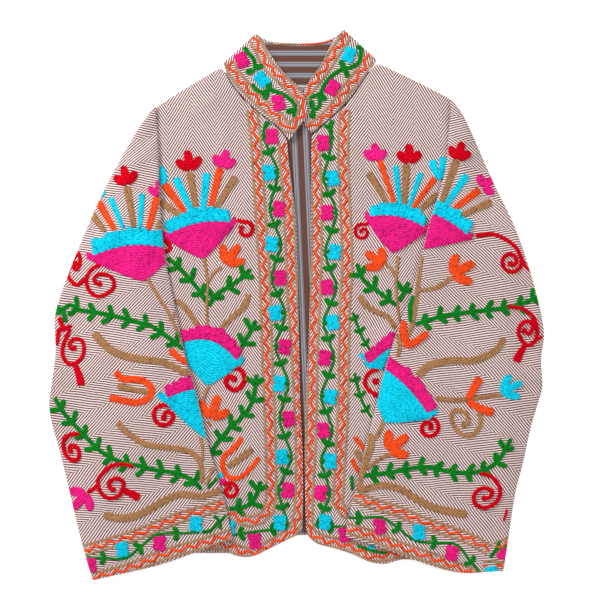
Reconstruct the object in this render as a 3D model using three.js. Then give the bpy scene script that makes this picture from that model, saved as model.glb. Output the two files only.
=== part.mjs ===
// A short embroidered jacket with a stand collar, laid flat, face up, with its sleeves folded down over
// the fronts. Millimetres: +X to the right of the jacket as it lies, +Y towards its collar, +Z up from
// the surface it lies on. Every piece is a wall of cloth: a grid worked out from short tables of its
// edges, one row for each section, with its under face and its upper face at heights of their own.
import * as THREE from 'three';

// Cloth and the order of the layers, counted up from the surface.
const CLOTH = 2.5; // wool cloth, felted by its embroidery
const LINING = 1.2;
const COLLAR_CLOTH = 2.2;
const SEAM_GAP = 0.3;
const LINING_BASE = CLOTH + SEAM_GAP;
const FRONT_BASE = LINING_BASE + LINING + SEAM_GAP;
const FRONT_LIFT = 2.7; // how far the middle of a front stands off the lining
const LINING_INSET = 18; // from the seams of the body to the edge of the lining
const HEM_INSET = 3; // from the hem of the back to the hem of its lining

// A sleeve is a flattened tube: two walls with a shallow hollow between them.
const SLEEVE_WALL = 2.2;
const SLEEVE_HEIGHT = 7.6;
const SLEEVE_CLEARANCE = 0.8; // above what it lies on
const SLEEVE_STATIONS = 31;
const DROP_START = 9; // past the side of the body, where a sleeve begins to come down
const DROP_LENGTH = 30; // from there to where it reaches the surface
const APPLIQUE = 1.3; // how far the thick wool fans raise the cloth's outer face
const APPLIQUE_RIM = 9; // over how many millimetres they rise

const COLOURS = {
  cloth: 0xc9b3a4,
  lining: 0x8d7566,
  facing: 0x93867c,
};

// Left and right edges of the body, from the shoulders down: outer is the armhole and the side seam,
// inner the edge that opens.
const LEFT_SECTIONS = [
  { y: 181, outer: -189, inner: -11 },
  { y: 150, outer: -196, inner: -7 },
  { y: 119, outer: -204, inner: -3 },
  { y: 88, outer: -219, inner: -1 },
  { y: 54, outer: -241, inner: 0 },
  { y: 6, outer: -243, inner: 1 },
  { y: -44, outer: -243, inner: 2 },
  { y: -94, outer: -243, inner: 3 },
  { y: -131, outer: -243, inner: 4 },
  { y: -169, outer: -243, inner: 6 },
  { y: -206, outer: -243, inner: 7 },
  { y: -250, outer: -243, inner: 7 },
];
const RIGHT_SECTIONS = [
  { y: 181, outer: 193, inner: 17 },
  { y: 150, outer: 199, inner: 17 },
  { y: 119, outer: 208, inner: 17 },
  { y: 88, outer: 223, inner: 17 },
  { y: 54, outer: 243, inner: 17 },
  { y: 6, outer: 244, inner: 15 },
  { y: -44, outer: 244, inner: 14 },
  { y: -94, outer: 244, inner: 11 },
  { y: -131, outer: 244, inner: 10 },
  { y: -169, outer: 244, inner: 9 },
  { y: -206, outer: 244, inner: 9 },
  { y: -250, outer: 244, inner: 10 },
];

// Shoulder line and collar seam of each front, from the shoulder point to the front edge.
const LEFT_TOP = [
  { x: -186, y: 241 }, { x: -139, y: 271 }, { x: -93, y: 298 }, { x: -89, y: 285 },
  { x: -78, y: 268 }, { x: -56, y: 245 }, { x: -39, y: 232 }, { x: -23, y: 220 }, { x: -13, y: 206 },
];
const RIGHT_TOP = [
  { x: 193, y: 256 }, { x: 147, y: 280 }, { x: 100, y: 302 }, { x: 93, y: 295 },
  { x: 82, y: 278 }, { x: 67, y: 256 }, { x: 53, y: 242 }, { x: 38, y: 229 }, { x: 29, y: 220 },
  { x: 18, y: 211 },
];

// Hems, from the side seam to the front edge.
const LEFT_HEM = [
  { x: -243, y: -305 }, { x: -149, y: -306 }, { x: -92, y: -306 }, { x: -72, y: -315 },
  { x: -55, y: -315 }, { x: -32, y: -302 }, { x: -9, y: -291 }, { x: 6, y: -284 },
];
const RIGHT_HEM = [
  { x: 244, y: -311 }, { x: 153, y: -319 }, { x: 129, y: -316 }, { x: 111, y: -324 },
  { x: 89, y: -321 }, { x: 71, y: -311 }, { x: 42, y: -302 }, { x: 22, y: -298 }, { x: 11, y: -286 },
];
const BACK_HEM = [
  { x: -243, y: -310 }, { x: -60, y: -310 }, { x: 6, y: -283 }, { x: 90, y: -306 }, { x: 244, y: -311 },
];

// Shoulders and back neckline, from left to right.
const BACK_TOP = [
  { x: -186, y: 241 }, { x: -139, y: 271 }, { x: -93, y: 297 }, { x: -74, y: 286 }, { x: -54, y: 278 },
  { x: -34, y: 274 }, { x: 3, y: 272 }, { x: 42, y: 276 }, { x: 62, y: 280 }, { x: 81, y: 288 },
  { x: 100, y: 300 }, { x: 147, y: 280 }, { x: 193, y: 256 },
];

// The collar stands 57 mm high. Sections across its band, from the fold at its side to its front end:
// seam is the edge sewn to the neck, rim the free edge.
const COLLAR_LEFT = [
  { seamX: -94, seamY: 301, rimX: -51, rimY: 340 },
  { seamX: -89, seamY: 286, rimX: -43, rimY: 329 },
  { seamX: -83, seamY: 276, rimX: -37, rimY: 318 },
  { seamX: -74, seamY: 264, rimX: -28, rimY: 304 },
  { seamX: -63, seamY: 252, rimX: -18, rimY: 291 },
  { seamX: -51, seamY: 241, rimX: -7, rimY: 280 },
  { seamX: -38, seamY: 231, rimX: 3, rimY: 271 },
  { seamX: -26, seamY: 222, rimX: 9, rimY: 260 },
  { seamX: -16, seamY: 211, rimX: 12, rimY: 248 },
  { seamX: -11, seamY: 204, rimX: 12, rimY: 236 },
];
const COLLAR_RIGHT = [
  { seamX: 101, seamY: 304, rimX: 57, rimY: 345 },
  { seamX: 93, seamY: 296, rimX: 51, rimY: 336 },
  { seamX: 87, seamY: 286, rimX: 44, rimY: 328 },
  { seamX: 79, seamY: 275, rimX: 37, rimY: 316 },
  { seamX: 72, seamY: 264, rimX: 31, rimY: 302 },
  { seamX: 62, seamY: 252, rimX: 22, rimY: 290 },
  { seamX: 52, seamY: 242, rimX: 14, rimY: 279 },
  { seamX: 41, seamY: 232, rimX: 8, rimY: 266 },
  { seamX: 29, seamY: 222, rimX: 2, rimY: 254 },
  { seamX: 18, seamY: 213, rimX: -2, rimY: 241 },
];
const COLLAR_BACK = [
  { seamX: -93, seamY: 299, rimX: -51, rimY: 338 },
  { seamX: -74, seamY: 288, rimX: -43, rimY: 333 },
  { seamX: -54, seamY: 280, rimX: -32, rimY: 329 },
  { seamX: -34, seamY: 276, rimX: -17, rimY: 328 },
  { seamX: 3, seamY: 274, rimX: 3, rimY: 327 },
  { seamX: 42, seamY: 278, rimX: 24, rimY: 328 },
  { seamX: 62, seamY: 282, rimX: 38, rimY: 331 },
  { seamX: 81, seamY: 290, rimX: 48, rimY: 336 },
  { seamX: 100, seamY: 302, rimX: 57, rimY: 343 },
];
const COLLAR_LAP = { start: -42, full: -16, rise: 3.4 }; // the left end climbs over the right one
const COLLAR_SWELL = 1.1;
const RIM_INSET = 0.07; // share of the collar's height where its outer cloth shows past the facing

// Sections across each sleeve, from the armhole to the cuff: inner lies over the front, outer is the
// fold along the top of the arm. turn is how far the middle of the section is pushed along the sleeve.
const SLEEVE_LEFT = [
  { innerX: -172, innerY: 174, outerX: -177, outerY: 249, turn: 0 },
  { innerX: -172, innerY: 154, outerX: -193, outerY: 229, turn: 0 },
  { innerX: -171, innerY: 131, outerX: -214, outerY: 195, turn: 0 },
  { innerX: -168, innerY: 96, outerX: -242, outerY: 145, turn: 0 },
  { innerX: -163, innerY: 56, outerX: -267, outerY: 89, turn: 0 },
  { innerX: -154, innerY: 12, outerX: -290, outerY: 32, turn: 0 },
  { innerX: -144, innerY: -34, outerX: -305, outerY: -14, turn: 0 },
  { innerX: -136, innerY: -69, outerX: -303, outerY: -56, turn: 0 },
  { innerX: -127, innerY: -99, outerX: -308, outerY: -95, turn: 0 },
  { innerX: -118, innerY: -134, outerX: -312, outerY: -132, turn: 0 },
  { innerX: -108, innerY: -178, outerX: -299, outerY: -180, turn: 1 },
  { innerX: -97, innerY: -214, outerX: -287, outerY: -230, turn: 2 },
  { innerX: -87, innerY: -252, outerX: -274, outerY: -284, turn: 3 },
  { innerX: -79, innerY: -290, outerX: -257, outerY: -344, turn: 5 },
];
const SLEEVE_RIGHT = [
  { innerX: 187, innerY: 194, outerX: 191, outerY: 258, turn: 0 },
  { innerX: 184, innerY: 169, outerX: 207, outerY: 236, turn: 0 },
  { innerX: 177, innerY: 144, outerX: 226, outerY: 196, turn: 0 },
  { innerX: 164, innerY: 106, outerX: 249, outerY: 145, turn: 0 },
  { innerX: 153, innerY: 64, outerX: 273, outerY: 97, turn: 0 },
  { innerX: 142, innerY: 19, outerX: 294, outerY: 35, turn: 0 },
  { innerX: 126, innerY: -21, outerX: 310, outerY: -32, turn: 0 },
  { innerX: 113, innerY: -59, outerX: 305, outerY: -66, turn: 0 },
  { innerX: 104, innerY: -89, outerX: 308, outerY: -100, turn: 0 },
  { innerX: 98, innerY: -116, outerX: 303, outerY: -119, turn: 1 },
  { innerX: 88, innerY: -154, outerX: 292, outerY: -156, turn: 3 },
  { innerX: 79, innerY: -189, outerX: 284, outerY: -194, turn: 6 },
  { innerX: 71, innerY: -226, outerX: 273, outerY: -235, turn: 9 },
  { innerX: 62, innerY: -259, outerX: 266, outerY: -281, turn: 12 },
  { innerX: 58, innerY: -288, outerX: 258, outerY: -332, turn: 14 },
];
const TURN_AT = { left: 0.5, right: 0.72 }; // where across the cuff that push is greatest

// Soft folds: a ridge has a positive height, a trough a negative one. turn is in degrees from +X.
const FRONT_FOLDS = [
  { x: -66, y: 150, turn: 84, length: 190, width: 15, height: 0.7 },
  { x: -100, y: -150, turn: 100, length: 210, width: 17, height: -0.7 },
  { x: -48, y: -210, turn: 93, length: 170, width: 14, height: 0.6 },
  { x: 74, y: 160, turn: 97, length: 170, width: 15, height: -0.6 },
  { x: 62, y: -60, turn: 84, length: 230, width: 16, height: 0.7 },
  { x: 92, y: -240, turn: 96, length: 120, width: 15, height: 0.8 },
];
const SLEEVE_FOLDS = [
  { x: -192, y: 176, turn: 66, length: 120, width: 13, height: 0.7 },
  { x: -226, y: 60, turn: 58, length: 150, width: 16, height: -1.0 },
  { x: -262, y: -40, turn: 20, length: 110, width: 14, height: -0.9 },
  { x: -200, y: -130, turn: 78, length: 200, width: 18, height: 0.7 },
  { x: -140, y: -200, turn: 72, length: 150, width: 16, height: -0.8 },
  { x: 206, y: 182, turn: 110, length: 110, width: 13, height: 0.7 },
  { x: 228, y: 70, turn: 124, length: 150, width: 16, height: -1.0 },
  { x: 268, y: -60, turn: 158, length: 110, width: 14, height: -0.9 },
  { x: 180, y: -150, turn: 104, length: 210, width: 18, height: 0.7 },
  { x: 236, y: -250, turn: 97, length: 120, width: 12, height: -1.0 },
];

// Thick wool fans, raised in the outer face of the cloth they are worked on.
const FRONT_FANS = [
  { x: -121, y: 93, long: 46, short: 30, turn: 6 },
  { x: -106, y: -60, long: 42, short: 30, turn: -42 },
  { x: 124, y: 97, long: 38, short: 30, turn: -14 },
  { x: 100, y: -62, long: 26, short: 20, turn: -35 },
];
const SLEEVE_FANS = [
  { x: -212, y: 66, long: 48, short: 31, turn: 2 },
  { x: -142, y: -128, long: 38, short: 26, turn: -52 },
  { x: 184, y: 92, long: 35, short: 25, turn: -22 },
  { x: 134, y: -112, long: 40, short: 30, turn: -45 },
];

// Rises smoothly from 0 to 1 as t goes from 0 to 1.
function ease(t) {
  const c = THREE.MathUtils.clamp(t, 0, 1);
  return c * c * (3 - 2 * c);
}

// The value of one column of a table at a place along another, as a smooth curve through the rows.
function smoothColumn(rows, column, at) {
  const last = rows.length - 1;
  const i = Math.min(Math.floor(at), last - 1);
  const t = at - i;
  const [p0, p1, p2, p3] = [i - 1, i, i + 1, i + 2].map((k) => rows[THREE.MathUtils.clamp(k, 0, last)][column]);
  return 0.5 * (2 * p1 + (p2 - p0) * t + (2 * p0 - 5 * p1 + 4 * p2 - p3) * t * t
    + (3 * p1 - p0 - 3 * p2 + p3) * t * t * t);
}

// The value of a table's column where its key column has a given value, in straight steps.
function lookUp(rows, key, column, value) {
  const rising = rows[rows.length - 1][key] > rows[0][key];
  const sorted = rising ? rows : [...rows].reverse();
  const clamped = THREE.MathUtils.clamp(value, sorted[0][key], sorted[sorted.length - 1][key]);
  const i = Math.max(1, sorted.findIndex((row) => row[key] >= clamped));
  const [a, b] = [sorted[i - 1], sorted[i]];
  return THREE.MathUtils.lerp(a[column], b[column], (clamped - a[key]) / (b[key] - a[key]));
}

// The place of a point along and across a fold or a fan.
function along(form, x, y) {
  const angle = THREE.MathUtils.degToRad(form.turn);
  const [dx, dy] = [x - form.x, y - form.y];
  return [dx * Math.cos(angle) + dy * Math.sin(angle), dy * Math.cos(angle) - dx * Math.sin(angle)];
}

function foldHeight(folds, x, y) {
  let height = 0;
  for (const fold of folds) {
    const [a, c] = along(fold, x, y);
    const fade = ease(1 - Math.abs(a) / (fold.length / 2));
    height += fold.height * fade * Math.exp(-((c / fold.width) ** 2));
  }
  return height;
}

function fanHeight(fans, x, y) {
  let height = 0;
  for (const fan of fans) {
    const [a, c] = along(fan, x, y);
    const inside = (1 - Math.hypot(a / fan.long, c / fan.short)) * fan.short;
    height = Math.max(height, APPLIQUE * ease(inside / APPLIQUE_RIM));
  }
  return height;
}

// How far the under face of a front stands off the lining.
function frontLift(x, y) {
  const rows = x < 8 ? LEFT_SECTIONS : RIGHT_SECTIONS;
  const fromSide = Math.abs(x - lookUp(rows, 'y', 'outer', y));
  const fromEdge = Math.abs(x - lookUp(rows, 'y', 'inner', y));
  const round = ease(fromSide / 55) * ease(fromEdge / 45) * ease((y + 300) / 60) * ease((235 - y) / 60);
  return Math.max(0, FRONT_LIFT * round + foldHeight(FRONT_FOLDS, x, y) * ease(round * 2));
}

function frontTop(x, y) {
  return FRONT_BASE + frontLift(x, y) + CLOTH + fanHeight(FRONT_FANS, x, y);
}

// The height of what a sleeve lies on: the front, and past its side or hem the surface itself.
function sleeveSupport(x, y) {
  const rows = x < 0 ? LEFT_SECTIONS : RIGHT_SECTIONS;
  const pastSide = Math.abs(x) - Math.abs(lookUp(rows, 'y', 'outer', y));
  const pastHem = -315 - y;
  const past = Math.hypot(Math.max(0, pastSide), Math.max(0, pastHem));
  const share = 1 - ease((past - DROP_START) / DROP_LENGTH);
  return (frontTop(x, y) + SLEEVE_CLEARANCE) * share;
}

// A closed solid from a grid of cells: upper and under faces, and the walls round the edge.
// cells[row][column] is { x, y, under, upper }.
function sheetGeometry(cells) {
  const rows = cells.length;
  const columns = cells[0].length;
  const positions = [];
  for (const face of ['upper', 'under']) {
    for (const row of cells) for (const cell of row) positions.push(cell.x, cell.y, cell[face]);
  }
  const half = rows * columns;
  const index = [];
  const quad = (a, b, c, d) => index.push(a, b, c, a, c, d);
  for (let r = 0; r + 1 < rows; r += 1) {
    for (let c = 0; c + 1 < columns; c += 1) {
      const [a, b] = [r * columns + c, r * columns + c + 1];
      const [d, e] = [a + columns, b + columns];
      quad(a, d, e, b);
      quad(half + a, half + b, half + e, half + d);
    }
  }
  const wall = (a, b) => quad(a, b, half + b, half + a);
  for (let c = 0; c + 1 < columns; c += 1) {
    wall(c, c + 1);
    wall((rows - 1) * columns + c + 1, (rows - 1) * columns + c);
  }
  for (let r = 0; r + 1 < rows; r += 1) {
    wall((r + 1) * columns, r * columns);
    wall(r * columns + columns - 1, (r + 1) * columns + columns - 1);
  }
  return facingOut(positions, index);
}

// The geometry with its faces turned out, whichever way round its grid was walked.
function facingOut(positions, index) {
  let volume = 0;
  const [a, b, c] = [new THREE.Vector3(), new THREE.Vector3(), new THREE.Vector3()];
  for (let i = 0; i < index.length; i += 3) {
    a.fromArray(positions, index[i] * 3);
    b.fromArray(positions, index[i + 1] * 3);
    c.fromArray(positions, index[i + 2] * 3);
    volume += a.dot(b.cross(c));
  }
  if (volume < 0) index.reverse();
  const geometry = new THREE.BufferGeometry();
  geometry.setAttribute('position', new THREE.Float32BufferAttribute(positions, 3));
  geometry.setIndex(index);
  geometry.computeVertexNormals();
  return geometry;
}

// Places across a front, from the side seam to the front edge: wide under the sleeve, close where it shows.
const FRONT_COLUMNS = [0, 0.05, 0.15, 0.27, 0.36, 0.42, 0.48, 0.535, 0.575, 0.62, 0.67, 0.72, 0.77, 0.83, 0.89, 0.95, 1];
const TOP_SHARES = [0, 0.1, 0.32, 0.55, 0.78]; // rows from the shoulder and collar seam to the first section
const SECTION_STEPS = 24; // rows over the sections
const HEM_STEPS = 3; // rows from the last section to the hem

// Rows of points for a body piece: from its top edge, through its sections, to its hem.
function bodyRows(top, sections, hem, columns) {
  const first = sections[0];
  const last = sections[sections.length - 1];
  const across = (section) => columns.map((u) => ({
    x: THREE.MathUtils.lerp(section.outer, section.inner, u),
    y: section.y,
  }));
  const [topStart, topEnd] = [top[0].x, top[top.length - 1].x];
  const topRow = columns.map((u) => {
    const x = THREE.MathUtils.lerp(topStart, topEnd, u);
    return { x, y: lookUp(top, 'x', 'y', x) };
  });
  const hemRow = across(last).map(({ x }, i) => {
    const end = i === columns.length - 1 ? hem[hem.length - 1].x : x;
    return { x: end, y: lookUp(hem, 'x', 'y', end) };
  });
  const between = (from, to, t) => from.map((p, i) => ({
    x: THREE.MathUtils.lerp(p.x, to[i].x, t),
    y: THREE.MathUtils.lerp(p.y, to[i].y, t),
  }));
  const rows = [];
  for (const share of TOP_SHARES) rows.push(between(topRow, across(first), share));
  for (let i = 0; i <= SECTION_STEPS; i += 1) {
    const at = (i / SECTION_STEPS) * (sections.length - 1);
    rows.push(across({
      y: smoothColumn(sections, 'y', at),
      outer: smoothColumn(sections, 'outer', at),
      inner: smoothColumn(sections, 'inner', at),
    }));
  }
  for (let i = 1; i <= HEM_STEPS; i += 1) rows.push(between(across(last), hemRow, i / HEM_STEPS));
  return rows;
}

// A front: seamed to the back at the shoulder and the side, so those edges come down past the lining.
function front(top, sections, hem) {
  const shoulder = FRONT_COLUMNS.findIndex((u) => u > 0.54);
  const rows = bodyRows(top, sections, hem, FRONT_COLUMNS);
  return sheetGeometry(rows.map((row, r) => row.map(({ x, y }, c) => {
    const seamed = c === 0 || (r === 0 && c < shoulder);
    const under = (seamed ? LINING_BASE : FRONT_BASE) + frontLift(x, y);
    return { x, y, under, upper: under + CLOTH + fanHeight(FRONT_FANS, x, y) };
  })));
}

// Both sides of the body as one set of sections, for the back and its lining.
function backSections(inset) {
  return LEFT_SECTIONS.map((left, i) => ({
    y: left.y,
    outer: left.outer + inset,
    inner: RIGHT_SECTIONS[i].outer - inset,
  }));
}

function evenColumns(count) {
  return Array.from({ length: count + 1 }, (_, i) => i / count);
}

function back() {
  const rows = bodyRows(BACK_TOP, backSections(0), BACK_HEM, evenColumns(18));
  return sheetGeometry(rows.filter(thinned).map((row) => row.map(({ x, y }) => (
    { x, y, under: 0, upper: CLOTH }
  ))));
}

function backLining() {
  const top = BACK_TOP.map(({ x, y }) => {
    const inShoulder = Math.abs(x - 3) > 70;
    const [left, right] = [BACK_TOP[0].x + LINING_INSET, BACK_TOP.at(-1).x - LINING_INSET];
    return { x: THREE.MathUtils.clamp(x, left, right), y: inShoulder ? y - LINING_INSET : y };
  });
  const side = RIGHT_SECTIONS.at(-1).outer - LINING_INSET;
  const hem = BACK_HEM.map(({ x, y }) => ({ x: Math.min(x, side), y: y + HEM_INSET }));
  const rows = bodyRows(top, backSections(LINING_INSET), hem, evenColumns(18));
  return sheetGeometry(rows.filter(thinned).map((row) => row.map(({ x, y }) => (
    { x, y, under: LINING_BASE, upper: LINING_BASE + LINING }
  ))));
}

// A flat piece needs every second of the rows over its sections.
function thinned(row, r) {
  const section = r - TOP_SHARES.length;
  return section < 0 || section > SECTION_STEPS || section % 2 === 0;
}

// Points across a band from its seam to its rim, at each of its sections.
function bandRows(sections, stations, shares) {
  return Array.from({ length: stations }, (_, i) => {
    const at = (i / (stations - 1)) * (sections.length - 1);
    const [seamX, seamY, rimX, rimY] = ['seamX', 'seamY', 'rimX', 'rimY']
      .map((column) => smoothColumn(sections, column, at));
    return shares.map((t) => ({
      x: THREE.MathUtils.lerp(seamX, rimX, t),
      y: THREE.MathUtils.lerp(seamY, rimY, t),
      share: t,
      at: i / (stations - 1),
    }));
  });
}

const BAND_SHARES = [0.03, 0.12, 0.3, 0.5, 0.7, 0.88, 1];

// The end of the collar that comes round to the front: down at its fold, gently swelled, and lifted
// where it laps over the other end.
function collarFront(sections, lapped) {
  return sheetGeometry(bandRows(sections, 20, BAND_SHARES).map((row) => row.map(({ x, y, share, at }) => {
    const fold = LINING_BASE + (FRONT_BASE - LINING_BASE) * ease(at / 0.1);
    const swell = COLLAR_SWELL * Math.sin(Math.PI * share) * ease(at / 0.15) * ease((1 - at) / 0.3);
    const span = COLLAR_LAP.full - COLLAR_LAP.start;
    const lap = lapped ? COLLAR_LAP.rise * ease((x - COLLAR_LAP.start) / span) : 0;
    const under = fold + (lapped ? swell : swell * 0.2) + lap;
    return { x, y, under, upper: under + COLLAR_CLOTH };
  })));
}

// The back of the collar lies with its inside up: outer cloth below, facing on it.
function collarBack() {
  return sheetGeometry(bandRows(COLLAR_BACK, 17, [0, 0.25, 0.5, 0.75, 1]).map((row) => row.map(({ x, y }) => (
    { x, y, under: 0, upper: COLLAR_CLOTH }
  ))));
}

function collarFacing() {
  const shares = [0.01, 0.25, 0.5, 0.75, 1 - RIM_INSET];
  const rows = bandRows(COLLAR_BACK, 17, shares).slice(1, -1);
  return sheetGeometry(rows.map((row) => row.map(({ x, y }) => (
    { x, y, under: COLLAR_CLOTH + SEAM_GAP, upper: COLLAR_CLOTH + SEAM_GAP + LINING }
  ))));
}

// Shares of a sleeve's width, from its inner fold to its outer fold, for its upper and lower layers.
const UPPER_SHARES = [0.03, 0.09, 0.18, 0.28, 0.38, 0.48, 0.58, 0.68, 0.78, 0.87, 0.93, 0.975];
const LOWER_SHARES = [0.975, 0.93, 0.82, 0.66, 0.5, 0.34, 0.18, 0.07, 0.025];
const RING_SHARES = [
  { share: 0, side: 0 },
  ...UPPER_SHARES.map((share) => ({ share, side: 1 })),
  { share: 1, side: 0 },
  ...LOWER_SHARES.map((share) => ({ share, side: -1 })),
];

// One ring of a sleeve: the outside of the tube, or the inside of its wall.
function sleeveRing(section, turnAt, inside) {
  const { innerX, innerY, outerX, outerY, turn, height } = section;
  const width = Math.hypot(outerX - innerX, outerY - innerY);
  const margin = inside ? SLEEVE_WALL / width : 0;
  const [downX, downY] = [(outerY - innerY) / width, -(outerX - innerX) / width];
  const sense = outerX < innerX ? -1 : 1;
  return RING_SHARES.map(({ share, side }) => {
    const s = margin + share * (1 - 2 * margin);
    const push = turn * sense * ease(s < turnAt ? s / turnAt : (1 - s) / (1 - turnAt));
    const x = THREE.MathUtils.lerp(innerX, outerX, s) + downX * push;
    const y = THREE.MathUtils.lerp(innerY, outerY, s) + downY * push;
    const round = (1 - Math.abs(2 * share - 1) ** 8) ** 0.5;
    const half = (inside ? height / 2 - SLEEVE_WALL : height / 2) * round;
    const top = side > 0 ? foldHeight(SLEEVE_FOLDS, x, y) * round : 0;
    const fan = side > 0 && !inside ? fanHeight(SLEEVE_FANS, x, y) * round : 0;
    return [x, y, sleeveSupport(x, y) + height / 2 + side * half + top + fan];
  });
}

// A sleeve: closed where it is sewn into the armhole, rounded there like a fold, and open at its cuff.
function sleeve(sections, turnAt) {
  const stations = Array.from({ length: SLEEVE_STATIONS }, (_, i) => {
    const at = (i / (SLEEVE_STATIONS - 1)) * (sections.length - 1);
    const section = { height: SLEEVE_HEIGHT - 3.2 * (1 - ease(i / 2)) };
    for (const column of ['innerX', 'innerY', 'outerX', 'outerY', 'turn']) {
      section[column] = smoothColumn(sections, column, at);
    }
    return section;
  });
  const rings = [
    ...stations.map((section) => sleeveRing(section, turnAt, false)),
    ...stations.slice(1).reverse().map((section) => sleeveRing(section, turnAt, true)),
  ];
  const size = RING_SHARES.length;
  const index = [];
  for (let r = 0; r + 1 < rings.length; r += 1) {
    for (let c = 0; c < size; c += 1) {
      const [a, b] = [r * size + c, r * size + ((c + 1) % size)];
      index.push(a, b, b + size, a, b + size, a + size);
    }
  }
  closeRing(index, 0, true);
  closeRing(index, (rings.length - 1) * size, false);
  return facingOut(rings.flat(2), index);
}

// Closes a ring with strips between its upper and its lower layer.
function closeRing(index, start, first) {
  const size = RING_SHARES.length;
  let [upper, lower] = [1, size - 1];
  const face = (a, b, c) => index.push(start + a, start + (first ? c : b), start + (first ? b : c));
  face(0, upper, lower);
  while (upper + 1 < lower) {
    const upperNext = RING_SHARES[upper + 1].share;
    const lowerNext = RING_SHARES[lower - 1].share;
    if (upperNext <= lowerNext) {
      face(upper, upper + 1, lower);
      upper += 1;
    } else {
      face(upper, lower - 1, lower);
      lower -= 1;
    }
  }
}

function cloth(colour) {
  return new THREE.MeshStandardMaterial({ color: colour, roughness: 0.92, metalness: 0 });
}

function piece(name, geometry, colour) {
  const mesh = new THREE.Mesh(geometry, cloth(colour));
  mesh.name = name;
  return mesh;
}

const jacket = new THREE.Group();
jacket.add(
  piece('back', back(), COLOURS.cloth),
  piece('back_lining', backLining(), COLOURS.lining),
  piece('front_left', front(LEFT_TOP, LEFT_SECTIONS, LEFT_HEM), COLOURS.cloth),
  piece('front_right', front(RIGHT_TOP, RIGHT_SECTIONS, RIGHT_HEM), COLOURS.cloth),
  piece('collar_back', collarBack(), COLOURS.cloth),
  piece('collar_facing', collarFacing(), COLOURS.facing),
  piece('collar_left', collarFront(COLLAR_LEFT, true), COLOURS.cloth),
  piece('collar_right', collarFront(COLLAR_RIGHT, false), COLOURS.cloth),
  piece('sleeve_left', sleeve(SLEEVE_LEFT, TURN_AT.left), COLOURS.cloth),
  piece('sleeve_right', sleeve(SLEEVE_RIGHT, TURN_AT.right), COLOURS.cloth),
);

// The origin is on the surface, under the middle of the jacket's box.
const middle = new THREE.Box3().setFromObject(jacket).getCenter(new THREE.Vector3());
jacket.position.set(-middle.x, -middle.y, 0);

export default jacket;
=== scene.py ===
# %% [markdown]
# An embroidered jacket, laid flat
#
# A short wool jacket with a stand collar lies face up, its sleeves folded down over the fronts. Thick
# chain stitch in bright wool covers it with fans, curls, tulips and leafy stems, and a border of
# flowers between zigzags runs down the fronts and round the collar and the cuffs.
#
# The cut pieces come from the frame as solids. This lesson gives each one a finer shell of cloth, and
# then works the embroidery on top of it, stitch row by stitch row, with small bmesh grids.

# %% Load the frame
import math

import bmesh
import bpy
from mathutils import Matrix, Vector, noise
from mathutils.bvhtree import BVHTree


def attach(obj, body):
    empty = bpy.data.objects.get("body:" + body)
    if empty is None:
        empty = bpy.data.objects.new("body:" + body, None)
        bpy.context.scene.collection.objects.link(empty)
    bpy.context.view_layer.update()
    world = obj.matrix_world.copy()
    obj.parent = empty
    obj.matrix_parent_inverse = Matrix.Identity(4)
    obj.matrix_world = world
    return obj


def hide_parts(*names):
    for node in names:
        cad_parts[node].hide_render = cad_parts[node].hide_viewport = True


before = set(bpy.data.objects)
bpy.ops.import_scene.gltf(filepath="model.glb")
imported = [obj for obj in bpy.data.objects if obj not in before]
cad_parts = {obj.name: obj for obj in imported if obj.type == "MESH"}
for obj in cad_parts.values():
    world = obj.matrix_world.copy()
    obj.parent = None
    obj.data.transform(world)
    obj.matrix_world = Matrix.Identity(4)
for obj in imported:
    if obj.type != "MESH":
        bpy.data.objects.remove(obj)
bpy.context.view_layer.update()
print("cut pieces:", ", ".join(sorted(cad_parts)))

# %% [markdown]
# Places on the jacket are given in millimetres: x to the right and y up towards the collar, from the
# point that the cut pieces were laid out from. They were read off the photo, where a pixel is 1.25 mm
# wide. That point lies close to the frame's origin, and one small shift joins the two.

# %% Sizes that the whole jacket shares
MM = 0.001
LAYOUT_SHIFT = Vector((0.85, -0.5))  # from the layout's point to the frame's origin, in mm
VIEW_WIDTH = 0.750  # what the camera sees across, in metres
VIEW_CENTRE = (0.0040, 0.0058)
CAMERA_HEIGHT = 2.6
SENSOR = 36.0
ROOT = "root"


def in_frame(x, y):
    return (x + LAYOUT_SHIFT.x) * MM, (y + LAYOUT_SHIFT.y) * MM


print("the picture is", VIEW_WIDTH / MM, "mm wide")


# %% [markdown]
# The camera looks straight down on the table, as it does for a garment that is laid out for a
# picture. Its lens is long, so the flat cloth shows almost no perspective.

# %% Camera
camera = bpy.data.objects.new("camera", bpy.data.cameras.new("camera"))
bpy.context.scene.collection.objects.link(camera)
camera.location = (*VIEW_CENTRE, CAMERA_HEIGHT)
camera.data.sensor_width = SENSOR
camera.data.lens = SENSOR * CAMERA_HEIGHT / VIEW_WIDTH
camera.data.dof.use_dof = False
bpy.context.scene.camera = camera
print("lens", round(camera.data.lens), "mm")

# %% [markdown]
# Materials start with small helpers. A node is made, its inputs are set or linked in one call, and
# the rest of the code reads like a recipe.

# %% Helpers for node trees


def add_node(tree, kind, inputs=(), **settings):
    node = tree.nodes.new(kind)
    for name, value in settings.items():
        setattr(node, name, value)
    for key, value in dict(inputs).items():
        if isinstance(value, bpy.types.NodeSocket):
            tree.links.new(value, node.inputs[key])
        else:
            node.inputs[key].default_value = value
    return node


def maths(tree, operation, *values):
    return add_node(tree, "ShaderNodeMath", enumerate(values), operation=operation).outputs[0]


def mixed(tree, share, low, high):
    """A colour between two others, at a share that changes over the surface."""
    return add_node(tree, "ShaderNodeMix", {0: share, 6: low, 7: high}, data_type="RGBA").outputs[2]


def srgb(red, green, blue):
    """A colour as a paint card gives it, turned into the linear values that nodes use."""
    def linear(c):
        c /= 255
        return c / 12.92 if c <= 0.04045 else ((c + 0.055) / 1.055) ** 2.4
    return (linear(red), linear(green), linear(blue), 1.0)


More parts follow.
